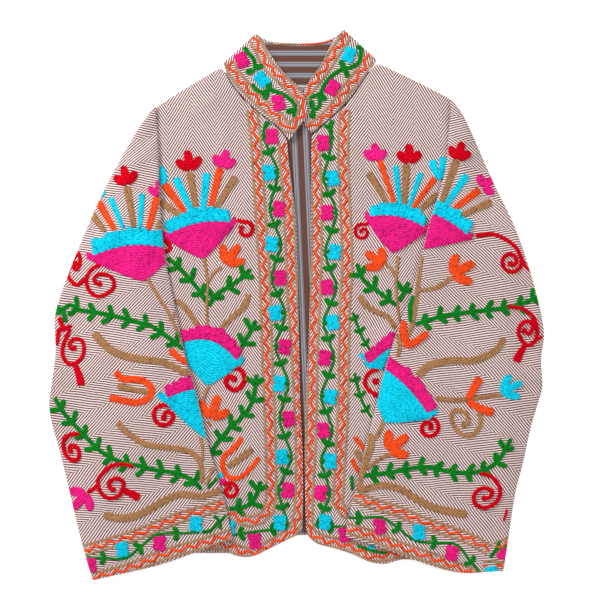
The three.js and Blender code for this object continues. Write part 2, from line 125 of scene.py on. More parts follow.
def new_group(name, inputs, outputs):
    group = bpy.data.node_groups.new(name, "ShaderNodeTree")
    for label, kind, value in inputs:
        socket = group.interface.new_socket(label, in_out="INPUT", socket_type=kind)
        socket.default_value = value
    for label, kind in outputs:
        group.interface.new_socket(label, in_out="OUTPUT", socket_type=kind)
    return group, group.nodes.new("NodeGroupInput"), group.nodes.new("NodeGroupOutput")


# %% [markdown]
# The cloth is a herringbone twill: dark lines climb across a band, and in the next band they climb the
# other way. A triangle wave across the bands, added to the height, bends straight lines into that
# shape. The same values give the colour and a low relief, so thread and shade always agree.

# %% Herringbone weave as a node group


def make_herringbone():
    group, start, end = new_group(
        "herringbone",
        [("Vector", "NodeSocketVector", (0, 0, 0)), ("Band", "NodeSocketFloat", 0.031),
         ("Pitch", "NodeSocketFloat", 0.0055), ("Climb", "NodeSocketFloat", 1.2),
         ("Ground", "NodeSocketColor", (1, 1, 1, 1)), ("Line", "NodeSocketColor", (0, 0, 0, 1))],
        [("Color", "NodeSocketColor"), ("Relief", "NodeSocketFloat")])
    value = start.outputs
    split = add_node(group, "ShaderNodeSeparateXYZ", {0: value["Vector"]}).outputs
    wobble = add_node(group, "ShaderNodeTexNoise",
                      {"Vector": value["Vector"], "Scale": 18.0, "Detail": 2.0}).outputs["Fac"]
    drift = maths(group, "MULTIPLY_ADD", wobble, 0.006, -0.003)
    across = maths(group, "DIVIDE", maths(group, "ADD", split["X"], drift), value["Band"])
    wave = maths(group, "PINGPONG", across, 1.0)
    odd = maths(group, "FLOORED_MODULO", maths(group, "FLOOR", across), 2.0)
    lift = maths(group, "MULTIPLY", maths(group, "MULTIPLY", wave, value["Band"]), value["Climb"])
    steps = maths(group, "DIVIDE", maths(group, "ADD", split["Y"], lift), value["Pitch"])
    turn = maths(group, "ADD", steps, maths(group, "MULTIPLY", odd, 0.5))
    wave_height = maths(group, "SINE", maths(group, "MULTIPLY", turn, math.tau))
    line = maths(group, "MULTIPLY_ADD", wave_height, 0.5, 0.5)
    thread = add_node(group, "ShaderNodeTexWave",
                      {"Vector": value["Vector"], "Scale": 260.0, "Distortion": 1.5, "Detail": 1.0},
                      bands_direction="X").outputs["Fac"]
    fleck = add_node(group, "ShaderNodeTexNoise",
                     {"Vector": value["Vector"], "Scale": 900.0, "Detail": 2.0}).outputs["Fac"]
    mask = maths(group, "MULTIPLY_ADD", maths(group, "SUBTRACT", fleck, 0.5), 0.7, line)
    mask = maths(group, "MULTIPLY_ADD", maths(group, "SUBTRACT", thread, 0.5), 0.16, mask)
    edge = add_node(group, "ShaderNodeMapRange",
                    {"Value": mask, "From Min": 0.38, "From Max": 0.60}).outputs[0]
    cloud = add_node(group, "ShaderNodeTexNoise",
                     {"Vector": value["Vector"], "Scale": 9.0, "Detail": 3.0}).outputs["Fac"]
    tone = maths(group, "MULTIPLY_ADD", cloud, 0.34, 0.83)
    plain = mixed(group, edge, value["Line"], value["Ground"])
    shade = add_node(group, "ShaderNodeHueSaturation", {"Value": tone, "Color": plain}).outputs[0]
    group.links.new(shade, end.inputs["Color"])
    group.links.new(maths(group, "ADD", edge, maths(group, "MULTIPLY", thread, 0.35)), end.inputs["Relief"])
    return group


HERRINGBONE = make_herringbone()
print("herringbone group:", len(HERRINGBONE.nodes), "nodes")

# %% [markdown]
# Every finish here is matt and soft. One function sets a Principled shader to the roughness of dry
# cloth, with a little sheen where it is asked for, and another links a colour and a relief to it. The
# weave follows the grain of its piece: some pieces only turn it, and the sleeves have a map for it.

# %% Cloth materials
CLOTH_GROUND = srgb(247, 231, 228)
CLOTH_LINE = srgb(113, 64, 61)


def soft_surface(name, sheen):
    material = bpy.data.materials.new(name)
    material.use_nodes = True
    tree = material.node_tree
    shader = tree.nodes["Principled BSDF"]
    shader.inputs["Roughness"].default_value = 0.9
    shader.inputs["Specular IOR Level"].default_value = 0.06
    shader.inputs["Sheen Weight"].default_value = sheen
    shader.inputs["Sheen Roughness"].default_value = 0.55
    return material, tree, shader


def connect(tree, shader, colour, height, depth, strength=0.8):
    tree.links.new(colour, shader.inputs["Base Color"])
    bump = add_node(tree, "ShaderNodeBump", {"Height": height, "Distance": depth, "Strength": strength})
    tree.links.new(bump.outputs[0], shader.inputs["Normal"])


def object_place(tree, turn=0.0, offset=(0, 0, 0)):
    """Object coordinates, turned by some degrees so that a weave follows the grain of its piece."""
    place = add_node(tree, "ShaderNodeTexCoord").outputs["Object"]
    return add_node(tree, "ShaderNodeMapping",
                    {"Vector": place, "Rotation": (0, 0, math.radians(turn)), "Location": offset}).outputs[0]


def own_grain(tree):
    """The grain map of a sleeve, whose weave bends along it."""
    return add_node(tree, "ShaderNodeUVMap", uv_map=GRAIN_MAP).outputs[0]


def herringbone_cloth(name, turn, offset):
    """turn is the grain's direction in degrees, or None where the piece has a grain map."""
    material, tree, shader = soft_surface(name, sheen=0.08)
    weave = add_node(tree, "ShaderNodeGroup", node_tree=HERRINGBONE)
    place = own_grain(tree) if turn is None else object_place(tree, turn, (offset, 0, 0))
    tree.links.new(place, weave.inputs["Vector"])
    weave.inputs["Band"].default_value = 0.030
    weave.inputs["Pitch"].default_value = 0.0064 if turn is None else 0.0051
    weave.inputs["Climb"].default_value = 2.0 if turn is None else 1.5
    weave.inputs["Ground"].default_value = CLOTH_GROUND
    weave.inputs["Line"].default_value = CLOTH_LINE
    connect(tree, shader, weave.outputs["Color"], weave.outputs["Relief"], 0.0006)
    return material


GRAIN_MAP = "grain"
CLOTH_TURNS = {  # piece: the turn of its grain in degrees, and where its first band starts in metres
    "back": (0.0, 0.0), "front_left": (-2.0, 0.0031), "front_right": (1.5, 0.0371),
    "sleeve_left": (None, 0.0), "sleeve_right": (None, 0.0), "collar_back": (0.0, 0.0),
    "collar_left": (45.0, 0.0), "collar_right": (-45.0, 0.0),
}
CLOTH = {node: herringbone_cloth("cloth_" + node, *grain) for node, grain in CLOTH_TURNS.items()}
print("cloth materials:", len(CLOTH))

# %% [markdown]
# The lining is a woven stripe: brown and pale grey, with fine dark lines in the grey. A ramp with hard
# stops, read by the repeat of one coordinate, draws it. The facing of the collar is cut across the
# same cloth, so there the stripes run sideways.

# %% Striped lining
STRIPE = 0.0139  # one brown and one grey stripe
BROWN = srgb(103, 67, 57)
DARK = srgb(44, 36, 36)
GREY = srgb(150, 148, 156)
GREY_LINE = srgb(58, 54, 60)
STRIPE_STOPS = [  # share of the repeat, and the colour there
    (0.00, BROWN), (0.42, BROWN), (0.45, DARK), (0.50, GREY), (0.60, GREY), (0.65, GREY_LINE),
    (0.70, GREY), (0.83, GREY), (0.87, GREY_LINE), (0.91, GREY), (0.965, DARK), (0.99, BROWN),
]


def striped_lining(name, turn, offset):
    material, tree, shader = soft_surface(name, sheen=0.1)
    place = object_place(tree, turn, offset)
    x = add_node(tree, "ShaderNodeSeparateXYZ", {0: place}).outputs["X"]
    repeat = maths(tree, "FRACT", maths(tree, "DIVIDE", x, STRIPE))
    ramp = add_node(tree, "ShaderNodeValToRGB", {"Fac": repeat})
    ramp.color_ramp.interpolation = "LINEAR"
    stops = ramp.color_ramp.elements
    while len(stops) < len(STRIPE_STOPS):
        stops.new(0.5)
    for stop, (position, colour) in zip(stops, STRIPE_STOPS):
        stop.position = position
        stop.color = colour
    weave = add_node(tree, "ShaderNodeTexNoise",
                     {"Vector": place, "Scale": 1400.0, "Detail": 1.0}).outputs["Fac"]
    tone = maths(tree, "MULTIPLY_ADD", weave, 0.3, 0.85)
    colour = add_node(tree, "ShaderNodeHueSaturation",
                      {"Value": tone, "Color": ramp.outputs["Color"]}).outputs[0]
    connect(tree, shader, colour, weave, 0.0003, 0.5)
    return material


LINING = striped_lining("striped_lining", -2.5, (0.0035, 0, 0))
FACING = striped_lining("striped_facing", 90.0, (0.004, 0, 0))
print("stripe repeats every", STRIPE * 1000, "mm")

# %% [markdown]
# Embroidery wool is loosely spun: its colour is strong, and painted shade darkens it a little between the
# strands. Fine noise gives the strands, a second one painted shade in the small holes between them, and a
# coarse one painted uneven light. Each mesh keeps the height of its stitches as an attribute, and low places
# get painted shade from it.

# %% Embroidery wools


def make_nap():
    group, start, end = new_group(
        "wool_nap",
        [("Vector", "NodeSocketVector", (0, 0, 0)), ("Stitch", "NodeSocketFloat", 1.0),
         ("Wool", "NodeSocketColor", (1, 1, 1, 1))],
        [("Color", "NodeSocketColor"), ("Relief", "NodeSocketFloat")])
    value = start.outputs
    strand = add_node(group, "ShaderNodeTexNoise",
                      {"Vector": value["Vector"], "Scale": 520.0, "Detail": 3.0}).outputs["Fac"]
    pit = add_node(group, "ShaderNodeTexNoise",
                   {"Vector": value["Vector"], "Scale": 330.0, "Detail": 1.0}).outputs["Fac"]
    cloud = add_node(group, "ShaderNodeTexNoise",
                     {"Vector": value["Vector"], "Scale": 60.0, "Detail": 2.0}).outputs["Fac"]
    # the strands' own tone, with painted uneven light from the coarse noise over it
    strands_and_painted_light = maths(group, "MULTIPLY_ADD", strand, 0.5, maths(group, "MULTIPLY", cloud, 0.35))
    light = maths(group, "MULTIPLY_ADD", value["Stitch"], 0.55, strands_and_painted_light)
    share = add_node(group, "ShaderNodeMapRange",
                     {"Value": light, "From Min": 0.42, "From Max": 1.0}).outputs[0]
    # painted shade: the wool is darker in the small holes between its strands
    shaded_hole = add_node(group, "ShaderNodeMapRange",
                         {"Value": pit, "From Min": 0.30, "From Max": 0.40}).outputs[0]
    shade = maths(group, "MULTIPLY", maths(group, "MULTIPLY_ADD", share, 0.72, 0.40),
                  maths(group, "MULTIPLY_ADD", shaded_hole, 0.40, 0.60))
    colour = add_node(group, "ShaderNodeHueSaturation", {"Value": shade, "Color": value["Wool"]}).outputs[0]
    group.links.new(colour, end.inputs["Color"])
    group.links.new(maths(group, "MULTIPLY_ADD", shaded_hole, 0.5, strand), end.inputs["Relief"])
    return group


NAP = make_nap()
WOOL_COLOURS = {
    "blue": srgb(14, 218, 248),
    "pink": srgb(246, 34, 138),
    "red": srgb(218, 0, 28),
    "orange": srgb(255, 84, 34),
    "green": srgb(12, 130, 34),
    "tan": srgb(178, 130, 90),
    "cord": srgb(190, 148, 118),
}


def wool(name, colour):
    material, tree, shader = soft_surface("wool_" + name, sheen=0.0)
    stitch = add_node(tree, "ShaderNodeAttribute", attribute_name="stitch").outputs["Fac"]
    nap = add_node(tree, "ShaderNodeGroup", node_tree=NAP)
    tree.links.new(object_place(tree), nap.inputs["Vector"])
    tree.links.new(stitch, nap.inputs["Stitch"])
    nap.inputs["Wool"].default_value = colour
    connect(tree, shader, nap.outputs["Color"], nap.outputs["Relief"], 0.0010, 0.9)
    return material


WOOLS = {name: wool(name, colour) for name, colour in WOOL_COLOURS.items()}
print("wools:", ", ".join(WOOLS))

# %% [markdown]
# A CAD solid comes as loose triangles. Its copy is merged, its triangles are joined into squares, and
# the edges round each cut edge are creased, so that a subdivision surface smooths the folds without
# pulling the outline in.

# %% From a solid to a cloth shell
CREASE = 0.85
WALL_STEEPNESS = 0.3  # a face steeper than this is the cut edge of the cloth


def link(mesh_object):
    bpy.context.scene.collection.objects.link(mesh_object)
    return mesh_object


def cloth_shell(node, name, material, levels=2):
    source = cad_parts[node]
    bm = bmesh.new()
    bm.from_mesh(source.data)
    bmesh.ops.transform(bm, matrix=source.matrix_world, verts=bm.verts)
    bmesh.ops.remove_doubles(bm, verts=bm.verts, dist=2e-6)
    bmesh.ops.join_triangles(bm, faces=bm.faces, angle_face_threshold=0.5, angle_shape_threshold=1.2)
    sharp = bm.edges.layers.float.get("crease_edge") or bm.edges.layers.float.new("crease_edge")
    for edge in bm.edges:
        steep = [abs(face.normal.z) < WALL_STEEPNESS for face in edge.link_faces]
        if len(steep) == 2 and steep[0] != steep[1]:
            edge[sharp] = CREASE
    mesh = bpy.data.meshes.new(name)
    bm.to_mesh(mesh)
    bm.free()
    shell = link(bpy.data.objects.new(name, mesh))
    smooth = shell.modifiers.new("smooth", "SUBSURF")
    smooth.levels = smooth.render_levels = levels
    smoothed = shell.evaluated_get(bpy.context.evaluated_depsgraph_get())
    applied = bpy.data.meshes.new_from_object(smoothed)
    shell.modifiers.clear()
    shell.data = applied
    applied.name = name
    applied.shade_smooth()
    applied.materials.clear()
    applied.materials.append(material)
    return shell


print("the rims of cut edges get a crease of", CREASE)

# %% [markdown]
# Creases are listed one by one, and uneven, because cloth never folds the same way twice. Each is a short
# trough or ridge that fades out at its ends and sides. A front moves with both its faces, and a sleeve,
# which lies double, only with the upper one. The sleeves also get their grain here: the map's first
# value counts across the bands of the weave, and its second runs along them.

# %% Creases and grain
DEEPEST = -2.0  # no trough goes deeper than this into the cloth, in mm


def press(shell, creases, upper_only):
    """Soft troughs and ridges, each a row of (x, y, turn, length, width, depth) in mm and degrees."""
    vertices = shell.data.vertices
    places = [vert.co.copy() for vert in vertices]
    faces_up = [vert.normal.z >= 0.2 for vert in vertices]
    lines = [(cx, cy, math.cos(math.radians(turn)), math.sin(math.radians(turn)), length / 2, width, depth)
             for cx, cy, turn, length, width, depth in creases]
    for place, up in zip(places, faces_up):
        if upper_only and not up:
            continue
        x, y = place.x / MM - LAYOUT_SHIFT.x, place.y / MM - LAYOUT_SHIFT.y
        rise = 0.0
        for cx, cy, c, s, half, width, depth in lines:
            along = ((x - cx) * c + (y - cy) * s) / half
            across = ((y - cy) * c - (x - cx) * s) / width
            if abs(along) < 1 and abs(across) < 3:
                rise += depth * (1 - along * along) ** 2 * math.exp(-across * across)
        place.z += max(rise, DEEPEST) * MM
    vertices.foreach_set("co", [number for place in places for number in place])
    shell.data.update()


SLEEVE_MIDDLE = 184.0  # mm from the jacket's middle to that of a sleeve
SHOULDER_Y, CUFF_Y = 200.0, -300.0
SHOULDER_TILT, CUFF_TILT = 14.0, 24.0  # how far the grain is turned there, in degrees
FIRST_BAND = 36.5


def lay_grain(shell, side):
    """A sleeve's own grain, which tilts a little at the shoulder and more towards the cuff."""
    places = []
    for vert in shell.data.vertices:
        x = side * (vert.co.x / MM - LAYOUT_SHIFT.x) + SLEEVE_MIDDLE
        y = vert.co.y / MM - LAYOUT_SHIFT.y
        share = min((SHOULDER_Y - y) / (SHOULDER_Y - CUFF_Y), 1.0)
        tilt = math.radians(SHOULDER_TILT + (CUFF_TILT - SHOULDER_TILT) * share)
        across = y * math.cos(tilt) - x * math.sin(tilt) + FIRST_BAND
        along = x * math.cos(tilt) + y * math.sin(tilt)
        places.append((across * MM, along * MM))
    grain = shell.data.uv_layers.new(name=GRAIN_MAP)
    for corner, loop in zip(grain.uv, shell.data.loops):
        corner.vector = places[loop.vertex_index]


print("no trough is deeper than", -DEEPEST, "mm")

# %% [markdown]
# The tables hold one crease in a row: the place of its middle, the way it turns in degrees, its length,
# its width and its depth, in millimetres. Both fronts share one table. Now the shells can be made.

# %% The shells
CREASES_FRONT = [
    (-178, 200, 82, 84, 5, 2.4), (182, 226, 104, 84, 5, 2.4), (-112, 252, 38, 70, 8, 1.8),
    (150, 214, 112, 90, 7, 1.7), (-150, 60, 84, 120, 7, 1.6), (152, -40, 94, 110, 7, 1.5),
    (-96, 196, 78, 90, 9, 1.3), (-70, 90, 96, 120, 9, 1.1), (-52, -60, 86, 150, 10, 1.1),
    (-86, -230, 70, 90, 9, 1.3), (-28, 60, 91, 180, 7, 0.7), (66, 190, 100, 100, 9, 1.1),
    (104, 160, 112, 80, 9, 1.3), (70, 20, 88, 160, 10, 1.1), (52, -150, 95, 140, 9, 1.1),
    (84, -285, 78, 60, 8, 1.4), (30, -240, 92, 90, 7, 0.9),
]
CREASES_LEFT = [
    (-196, 236, 62, 50, 5, -2.0), (-214, 214, 40, 50, 6, 1.6), (-276, -4, 20, 60, 6, 1.8),
    (-186, 206, 52, 70, 7, -2.0), (-200, 180, 62, 90, 8, 1.6), (-222, 120, 60, 100, 10, -1.6),
    (-176, 60, 74, 110, 9, -1.6), (-262, 10, 44, 90, 10, -1.8), (-282, -70, 8, 70, 9, -1.6),
    (-286, -120, -24, 60, 8, 1.6), (-160, -80, 74, 130, 10, -1.3), (-230, -200, 84, 150, 12, 1.4),
    (-262, -250, 96, 110, 10, -1.6), (-130, -230, 70, 100, 9, 1.4), (-196, -290, 74, 60, 9, -1.3),
]
CREASES_RIGHT = [
    (206, 240, 120, 56, 5, -2.0), (224, 216, 130, 60, 6, 1.6), (298, -92, 150, 60, 6, 1.8),
    (196, 230, 118, 60, 7, -2.6), (214, 206, 124, 80, 8, 1.4), (230, 140, 122, 100, 10, -1.4),
    (186, 70, 104, 110, 9, -1.4), (262, 30, 138, 90, 10, -1.6), (290, -60, 170, 70, 9, -1.4),
    (284, -120, 24, 60, 8, 1.4), (150, -90, 106, 130, 10, -1.1), (214, -190, 98, 160, 12, 1.3),
    (246, -280, 104, 90, 7, -2.4), (120, -220, 110, 100, 9, 1.3), (176, -290, 106, 60, 9, -1.1),
]
CREASES = {
    "front_left": CREASES_FRONT, "front_right": CREASES_FRONT,
    "sleeve_left": CREASES_LEFT, "sleeve_right": CREASES_RIGHT,
}
SHELLS = {}
for node, cloth in CLOTH.items():
    SHELLS[node] = cloth_shell(node, "cloth_" + node, cloth)
    press(SHELLS[node], CREASES.get(node, ()), upper_only=node.startswith("sleeve"))
lay_grain(SHELLS["sleeve_left"], 1)
lay_grain(SHELLS["sleeve_right"], -1)
SHELLS["back_lining"] = cloth_shell("back_lining", "lining_of_back", LINING, levels=1)
SHELLS["collar_facing"] = cloth_shell("collar_facing", "facing_of_collar", FACING)
print("shells:", {name: len(shell.data.polygons) for name, shell in SHELLS.items()})

# %% [markdown]
# Chain stitch is worked in rows, and every motif here is a field of such rows: a stem has one to four
# of them side by side, and a fan a dozen or more. A field is a flat grid at first. Each of its points is
# sent to its place on the cloth, dropped straight down onto it, and lifted by the height of the
# stitches: round across a row, and swelling with each link along it. The height is also kept as an
# attribute, which the wool reads as its shade.

# %% Rows of chain stitch on a panel
ROW = 2.4  # width of a row of chain stitch, in mm
LINK = 3.6  # length of one link
STEP = 1.05  # between the grid's points along a row
CUTS = 3  # grid cells across a row
SUNK = 0.35  # how far the edge of a field goes into the cloth
ROUNDING = 0.9  # how far in from the edge of a field its stitches reach their full height
DROP_FROM = 0.2  # height in metres from which the points are dropped


def tree_of(shell):
    bm = bmesh.new()
    bm.from_mesh(shell.data)
    tree = BVHTree.FromBMesh(bm)
    bm.free()
    return tree


def stitch_height(x, y, along, across, row, seed, dip):
    """Between 0 and 1.3: along is in mm, and across runs from 0 on a row's middle to 1 at its side."""
    beat = (along / LINK + 0.5 * (row % 2) + 0.4 * across + seed) % 1.0
    swell = 1 - dip + dip * math.sin(math.pi * beat) ** 0.7
    lump = 0.30 * noise.noise(Vector((x * 0.42, y * 0.42, seed)))
    return math.sqrt(1 - 0.8 * across * across) * swell + lump


class Needlework:
    """The wool that is worked on one panel: one mesh for each colour."""

    def __init__(self, name, under=()):
        self.name = name
        self.panel = tree_of(SHELLS[name])
        self.under = [tree_of(SHELLS[other]) for other in under]
        self.worked = {}

    def drop(self, x, y):
        """The height of the cloth at a place, or None past its edge or where another piece covers it."""
        start = Vector((*in_frame(x, y), DROP_FROM))
        down = Vector((0, 0, -1))
        hit = self.panel.ray_cast(start, down)[0]
        if hit is None:
            return None
        for tree in self.under:
            if tree.ray_cast(start, down)[0] is not None:
                return None
        return hit.z

    def field(self, colour, place, length, width, height=1.7, rows=None, seed=0.0, base=0.0, dip=0.3):
        """Stitches over place(u, v): u runs along the rows, v across them, both from 0 to 1."""
        rows = rows or max(1, round(width / ROW))
        bm = bmesh.new()
        shade = bm.verts.layers.float.new("stitch")
        grid = bmesh.ops.create_grid(bm, x_segments=max(3, round(length / STEP)),
                                     y_segments=rows * CUTS, size=0.5)["verts"]
        lost = []
        for vert in grid:
            u, v = vert.co.x + 0.5, vert.co.y + 0.5
            x, y = place(u, v)
            ground = self.drop(x, y)
            if ground is None:
                lost.append(vert)
                continue
            at = min(v * rows, rows - 1e-6)
            row = int(at)
            stitch = stitch_height(x, y, u * length, abs(2 * (at - row) - 1), row, seed, dip)
            rim = min(u * length, (1 - u) * length, 0.7 * v * width, 0.7 * (1 - v) * width)
            dome = math.sin(math.pi / 2 * min(1.0, rim / ROUNDING))
            # painted shade: the stitches grow darker towards the rim of the field, where they sink into the
            # cloth
            vert[shade] = stitch * (0.55 + 0.45 * dome)
            lift = (stitch * height + base) * dome - SUNK * (1 - dome)
            vert.co = Vector((*in_frame(x, y), ground + lift * MM))
        bmesh.ops.delete(bm, geom=lost, context="VERTS")
        self.keep(colour, bm, shade)
        bm.free()

    def keep(self, colour, bm, shade):
        points, faces, shades = self.worked.setdefault(colour, ([], [], []))
        first = len(points)
        bm.verts.index_update()
        for vert in bm.verts:
            points.append(vert.co.copy())
            shades.append(vert[shade])
        for face in bm.faces:
            loop = [first + vert.index for vert in face.verts]
            face.normal_update()
            faces.append(loop if face.normal.z >= 0 else loop[::-1])

    def tell(self):
        print(self.name, {colour: len(faces) for colour, (_, faces, _) in self.worked.items()})

    def finish(self):
        """One object for each wool and its body."""
        for colour, (points, faces, shades) in self.worked.items():
            name = f"wool_{colour}_{self.name}"
            mesh = bpy.data.meshes.new(name)
            mesh.from_pydata(points, [], faces)
            mesh.attributes.new("stitch", "FLOAT", "POINT").data.foreach_set("value", shades)
            mesh.shade_smooth()
            mesh.materials.append(WOOLS[colour])
            piece = link(bpy.data.objects.new(name, mesh))
            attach(piece, ROOT)
            print(name, len(mesh.polygons), "faces")


print("a row is", ROW, "mm wide and a link", LINK, "mm long")

# %% [markdown]
# Most motifs follow a line. Its few points are joined by a smooth curve, the curve is measured, and a
# band of stitches is laid along it, with ends as round as its width. Stems, leaves, petals, curls and
# zigzags are all such bands, and they differ only in their line and their width.

# %% Lines and bands


def curve(points, fine=8):
    """A smooth line through the points, as many short steps."""
    if len(points) == 2:
        (ax, ay), (bx, by) = points
        return [(ax + (bx - ax) * i / fine, ay + (by - ay) * i / fine) for i in range(fine + 1)]
    ends = [points[0], *points, points[-1]]
    line = []
    for p0, p1, p2, p3 in zip(ends, ends[1:], ends[2:], ends[3:]):
        for i in range(fine):
            t = i / fine
            line.append(tuple(
                0.5 * (2 * b + (c - a) * t + (2 * a - 5 * b + 4 * c - d) * t * t
                       + (3 * b - a - 3 * c + d) * t ** 3)
                for a, b, c, d in zip(p0, p1, p2, p3)))
    return [*line, points[-1]]


class Track:
    """A line that knows its length, and the place and the direction at each share of it."""

    def __init__(self, line):
        self.line = [Vector(p) for p in line]
        self.marks = [0.0]
        self.known = {}
        for a, b in zip(self.line, self.line[1:]):
            self.marks.append(self.marks[-1] + (b - a).length)
        self.length = self.marks[-1]

    def at(self, share):
        if share not in self.known:
            self.known[share] = self.find(share)
        return self.known[share]

    def find(self, share):
        want = min(max(share, 0.0), 1.0) * self.length
        low = 0
        while low < len(self.marks) - 2 and self.marks[low + 1] <= want:
            low += 1
        a, b = self.line[low], self.line[low + 1]
        span = self.marks[low + 1] - self.marks[low]
        before = self.line[max(low - 1, 0)]
        after = self.line[min(low + 2, len(self.line) - 1)]
        heading = (after - before).normalized() if after != before else Vector((1, 0))
        return a.lerp(b, (want - self.marks[low]) / span if span else 0.0), heading

    def beside(self, share, distance):
        """The place that lies a distance to the left of the line."""
        place, heading = self.at(share)
        return place.x - heading.y * distance, place.y + heading.x * distance


def turned(x, y, turn, a, b):
    """The place that lies a to the right of (x, y) and b above it, after a turn in degrees."""
    c, s = math.cos(math.radians(turn)), math.sin(math.radians(turn))
    return x + a * c - b * s, y + a * s + b * c


def band(work, colour, points, width, swell=None, height=1.7, rows=None, seed=0.0, base=0.0, dip=0.3):
    """Stitches along a line. swell(u) scales the width along it."""
    track = points if isinstance(points, Track) else Track(curve(points))

    def place(u, v):
        nearest = min(u, 1 - u) * track.length
        round_end = math.sqrt(max(0.0, 1 - (1 - min(1.0, nearest / (width / 2))) ** 2))
        wide = width * (0.25 + 0.75 * round_end) * (swell(u) if swell else 1.0)
        return track.beside(u, (v - 0.5) * wide)

    work.field(colour, place, track.length, width, height, rows, seed, base, dip)
    return track


def spiral(centre, radius, start, turns, inner=0.24):
    """Points that wind inwards round a centre, from a radius and a direction in degrees."""
    steps = max(6, round(abs(turns) * 10))
    points = []
    for i in range(steps + 1):
        t = i / steps
        angle = math.radians(start + 360 * turns * t)
        r = radius * (1 - (1 - inner) * t ** 1.6)
        points.append((centre[0] + r * math.cos(angle), centre[1] + r * math.sin(angle)))
    return points


arc = Track(curve([(0, 0), (30, 10), (60, 0)]))
print("a curve through three points is", round(arc.length, 1), "mm long")

# %% [markdown]
# The motifs themselves are traditional ones. A fan flower is a boat-shaped bowl with a short arm at
# each side and a crown of knots over it, a tulip has three petals on one base, and a vine carries
# leaves in pairs. Each is a function with a place, a size and a turn, so the same few forms fill the
# whole jacket. Stems, vines and most curls follow lines of points that were read off the photo.

# %% Motifs
STEM = 7.4
BRANCH = 9.6
THIN_STEM = 4.4
VINE = 6.0
CURL = 5.6
CROWN_REACH = 0.86  # share of the bowl's width that the crown covers
KNOT = 5.2  # radius of a knot on the crown's edge
HORN_DEPTH = 8.8  # thickness of the arm at each side of a bowl
SCALLOP = 1.7  # how deep the crown is notched over the bowl


def blob(work, colour, place, wide, tall, turn=0.0, height=1.8, base=0.0):
    """A filled round patch: the grid's square is mapped onto a disc."""
    def on_disc(u, v):
        p, q = 2 * u - 1, 2 * v - 1
        a, b = p * math.sqrt(1 - q * q / 2), q * math.sqrt(1 - p * p / 2)
        return turned(*place, turn, a * wide, b * tall)

    work.field(colour, on_disc, 2 * wide, 2 * tall, height, seed=place[0] * 0.37, base=base)


def fan(work, bowl, crown, place, half, depth, rise, bow=6.0, turn=0.0, tip=0.0, horn=6.0):
    """tip is where the lowest point lies, from -1 at the left end of the bowl to 1 at the right."""
    x, y = place

    def edge(a):
        if abs(a) < CROWN_REACH:
            return bow * math.cos(math.pi / 2 * a / CROWN_REACH)
        return horn * ((abs(a) - CROWN_REACH) / (1 - CROWN_REACH)) ** 0.75

    def bottom(a):
        reach = (a - tip) / (1 - tip) if a > tip else (tip - a) / (1 + tip)
        return horn - HORN_DEPTH - (depth + horn - HORN_DEPTH) * (1 - reach ** 1.2)

    def bowl_place(u, v):
        a = 2 * u - 1
        return turned(x, y, turn, a * half, bottom(a) + (edge(a) - bottom(a)) * v)

    def crown_place(u, v):
        a = (2 * u - 1) * CROWN_REACH
        scallop = SCALLOP * abs(math.sin(math.pi * knots * u))
        return turned(x, y, turn, a * half, edge(a) + rise * 0.74 * v - scallop * (1 - v))

    knots = round(CROWN_REACH * half / KNOT * 1.15)
    work.field(bowl, bowl_place, 2 * half, depth * 0.85, 2.2, seed=x * 0.1, base=0.5)
    for side in (-1, 1):
        shoulder = turned(x, y, turn, side * half * 0.8, -HORN_DEPTH * 0.45)
        end = turned(x, y, turn, side * (half - HORN_DEPTH * 0.1), horn - HORN_DEPTH * 0.5)
        band(work, bowl, [shoulder, end], HORN_DEPTH * 0.85, None, 2.2, base=0.55)
    work.field(crown, crown_place, 2 * half * CROWN_REACH, rise * 0.8, 2.4, seed=x * 0.3, base=1.0)
    for i in range(knots):
        a = ((2 * i + 1) / knots - 1) * CROWN_REACH
        reach = rise * 0.72 + 1.3 * math.sin(2.7 * i + x) - 2.5 * abs(a)
        size = KNOT * (1.08 + 0.14 * math.sin(1.9 * i + y))
        blob(work, crown, turned(x, y, turn, a * half, edge(a) + reach), size, size * 1.15, turn, 2.6, 1.2)


def tulip(work, colour, place, turn=90.0, size=20.0, spread=46.0, width=10.4, petals=(-1, 1, 0)):
    """Three petals on one base: turn is the way that they point, in degrees from the right."""
    x, y = place
    for side in petals:
        reach = size * (0.92 if side else 1.1)
        tip = turned(x, y, turn + side * spread, reach, 0)
        middle = turned(x, y, turn + side * spread * 1.15, reach * 0.55, 0)
        band(work, colour, [place, middle, tip], width, petal, 2.0, seed=side * 0.3, base=0.6)


def petal(u):
    return 0.74 + 0.34 * math.sin(math.pi * u) ** 0.8


def leaf(work, x, y, turn, length=10.5, width=6.4):
    band(work, "green", [(x, y), turned(x, y, turn, length, 0)], width, club, 1.9, rows=2, seed=x)


def club(u):
    """A leaf is widest near its blunt tip."""
    return 0.62 + 0.46 * math.sin(math.pi * min(1.0, 0.08 + 0.66 * u))


def vine(work, points, spacing=20.0, length=15.2, width=VINE, start=0.04):
    """A stem with pairs of leaves. Its points start at the growing tip, and the leaves point there."""
    track = band(work, "green", points, width, None, 1.8, rows=2)
    pairs = max(1, int(track.length * (1 - start) / spacing))
    for i in range(pairs):
        place, heading = track.at(start + (i + 0.5) * (1 - start) / pairs)
        back = math.degrees(math.atan2(-heading.y, -heading.x))
        for side in (-1, 1):
            lean = side * (54 + 7 * math.sin(3.1 * i + side))
            leaf(work, place.x, place.y, back + lean, length * (1 + 0.12 * math.sin(2.3 * i + side)),
                 width * 1.1)


def curl(work, centre, radius, start, turns, lead=(), width=CURL, inner=0.22, colour="red"):
    points = [*lead, *spiral(centre, radius, start, turns, inner)]
    wind(work, points, width, colour)


def wind(work, points, width=CURL, colour="red", base=0.2):
    """A curl along points of its own, with a knot at its inner end. A higher base lifts it over a vine."""
    band(work, colour, points, width, None, 1.9, rows=2, base=base)
    blob(work, colour, points[-1], width * 0.66, width * 0.66, base=base)


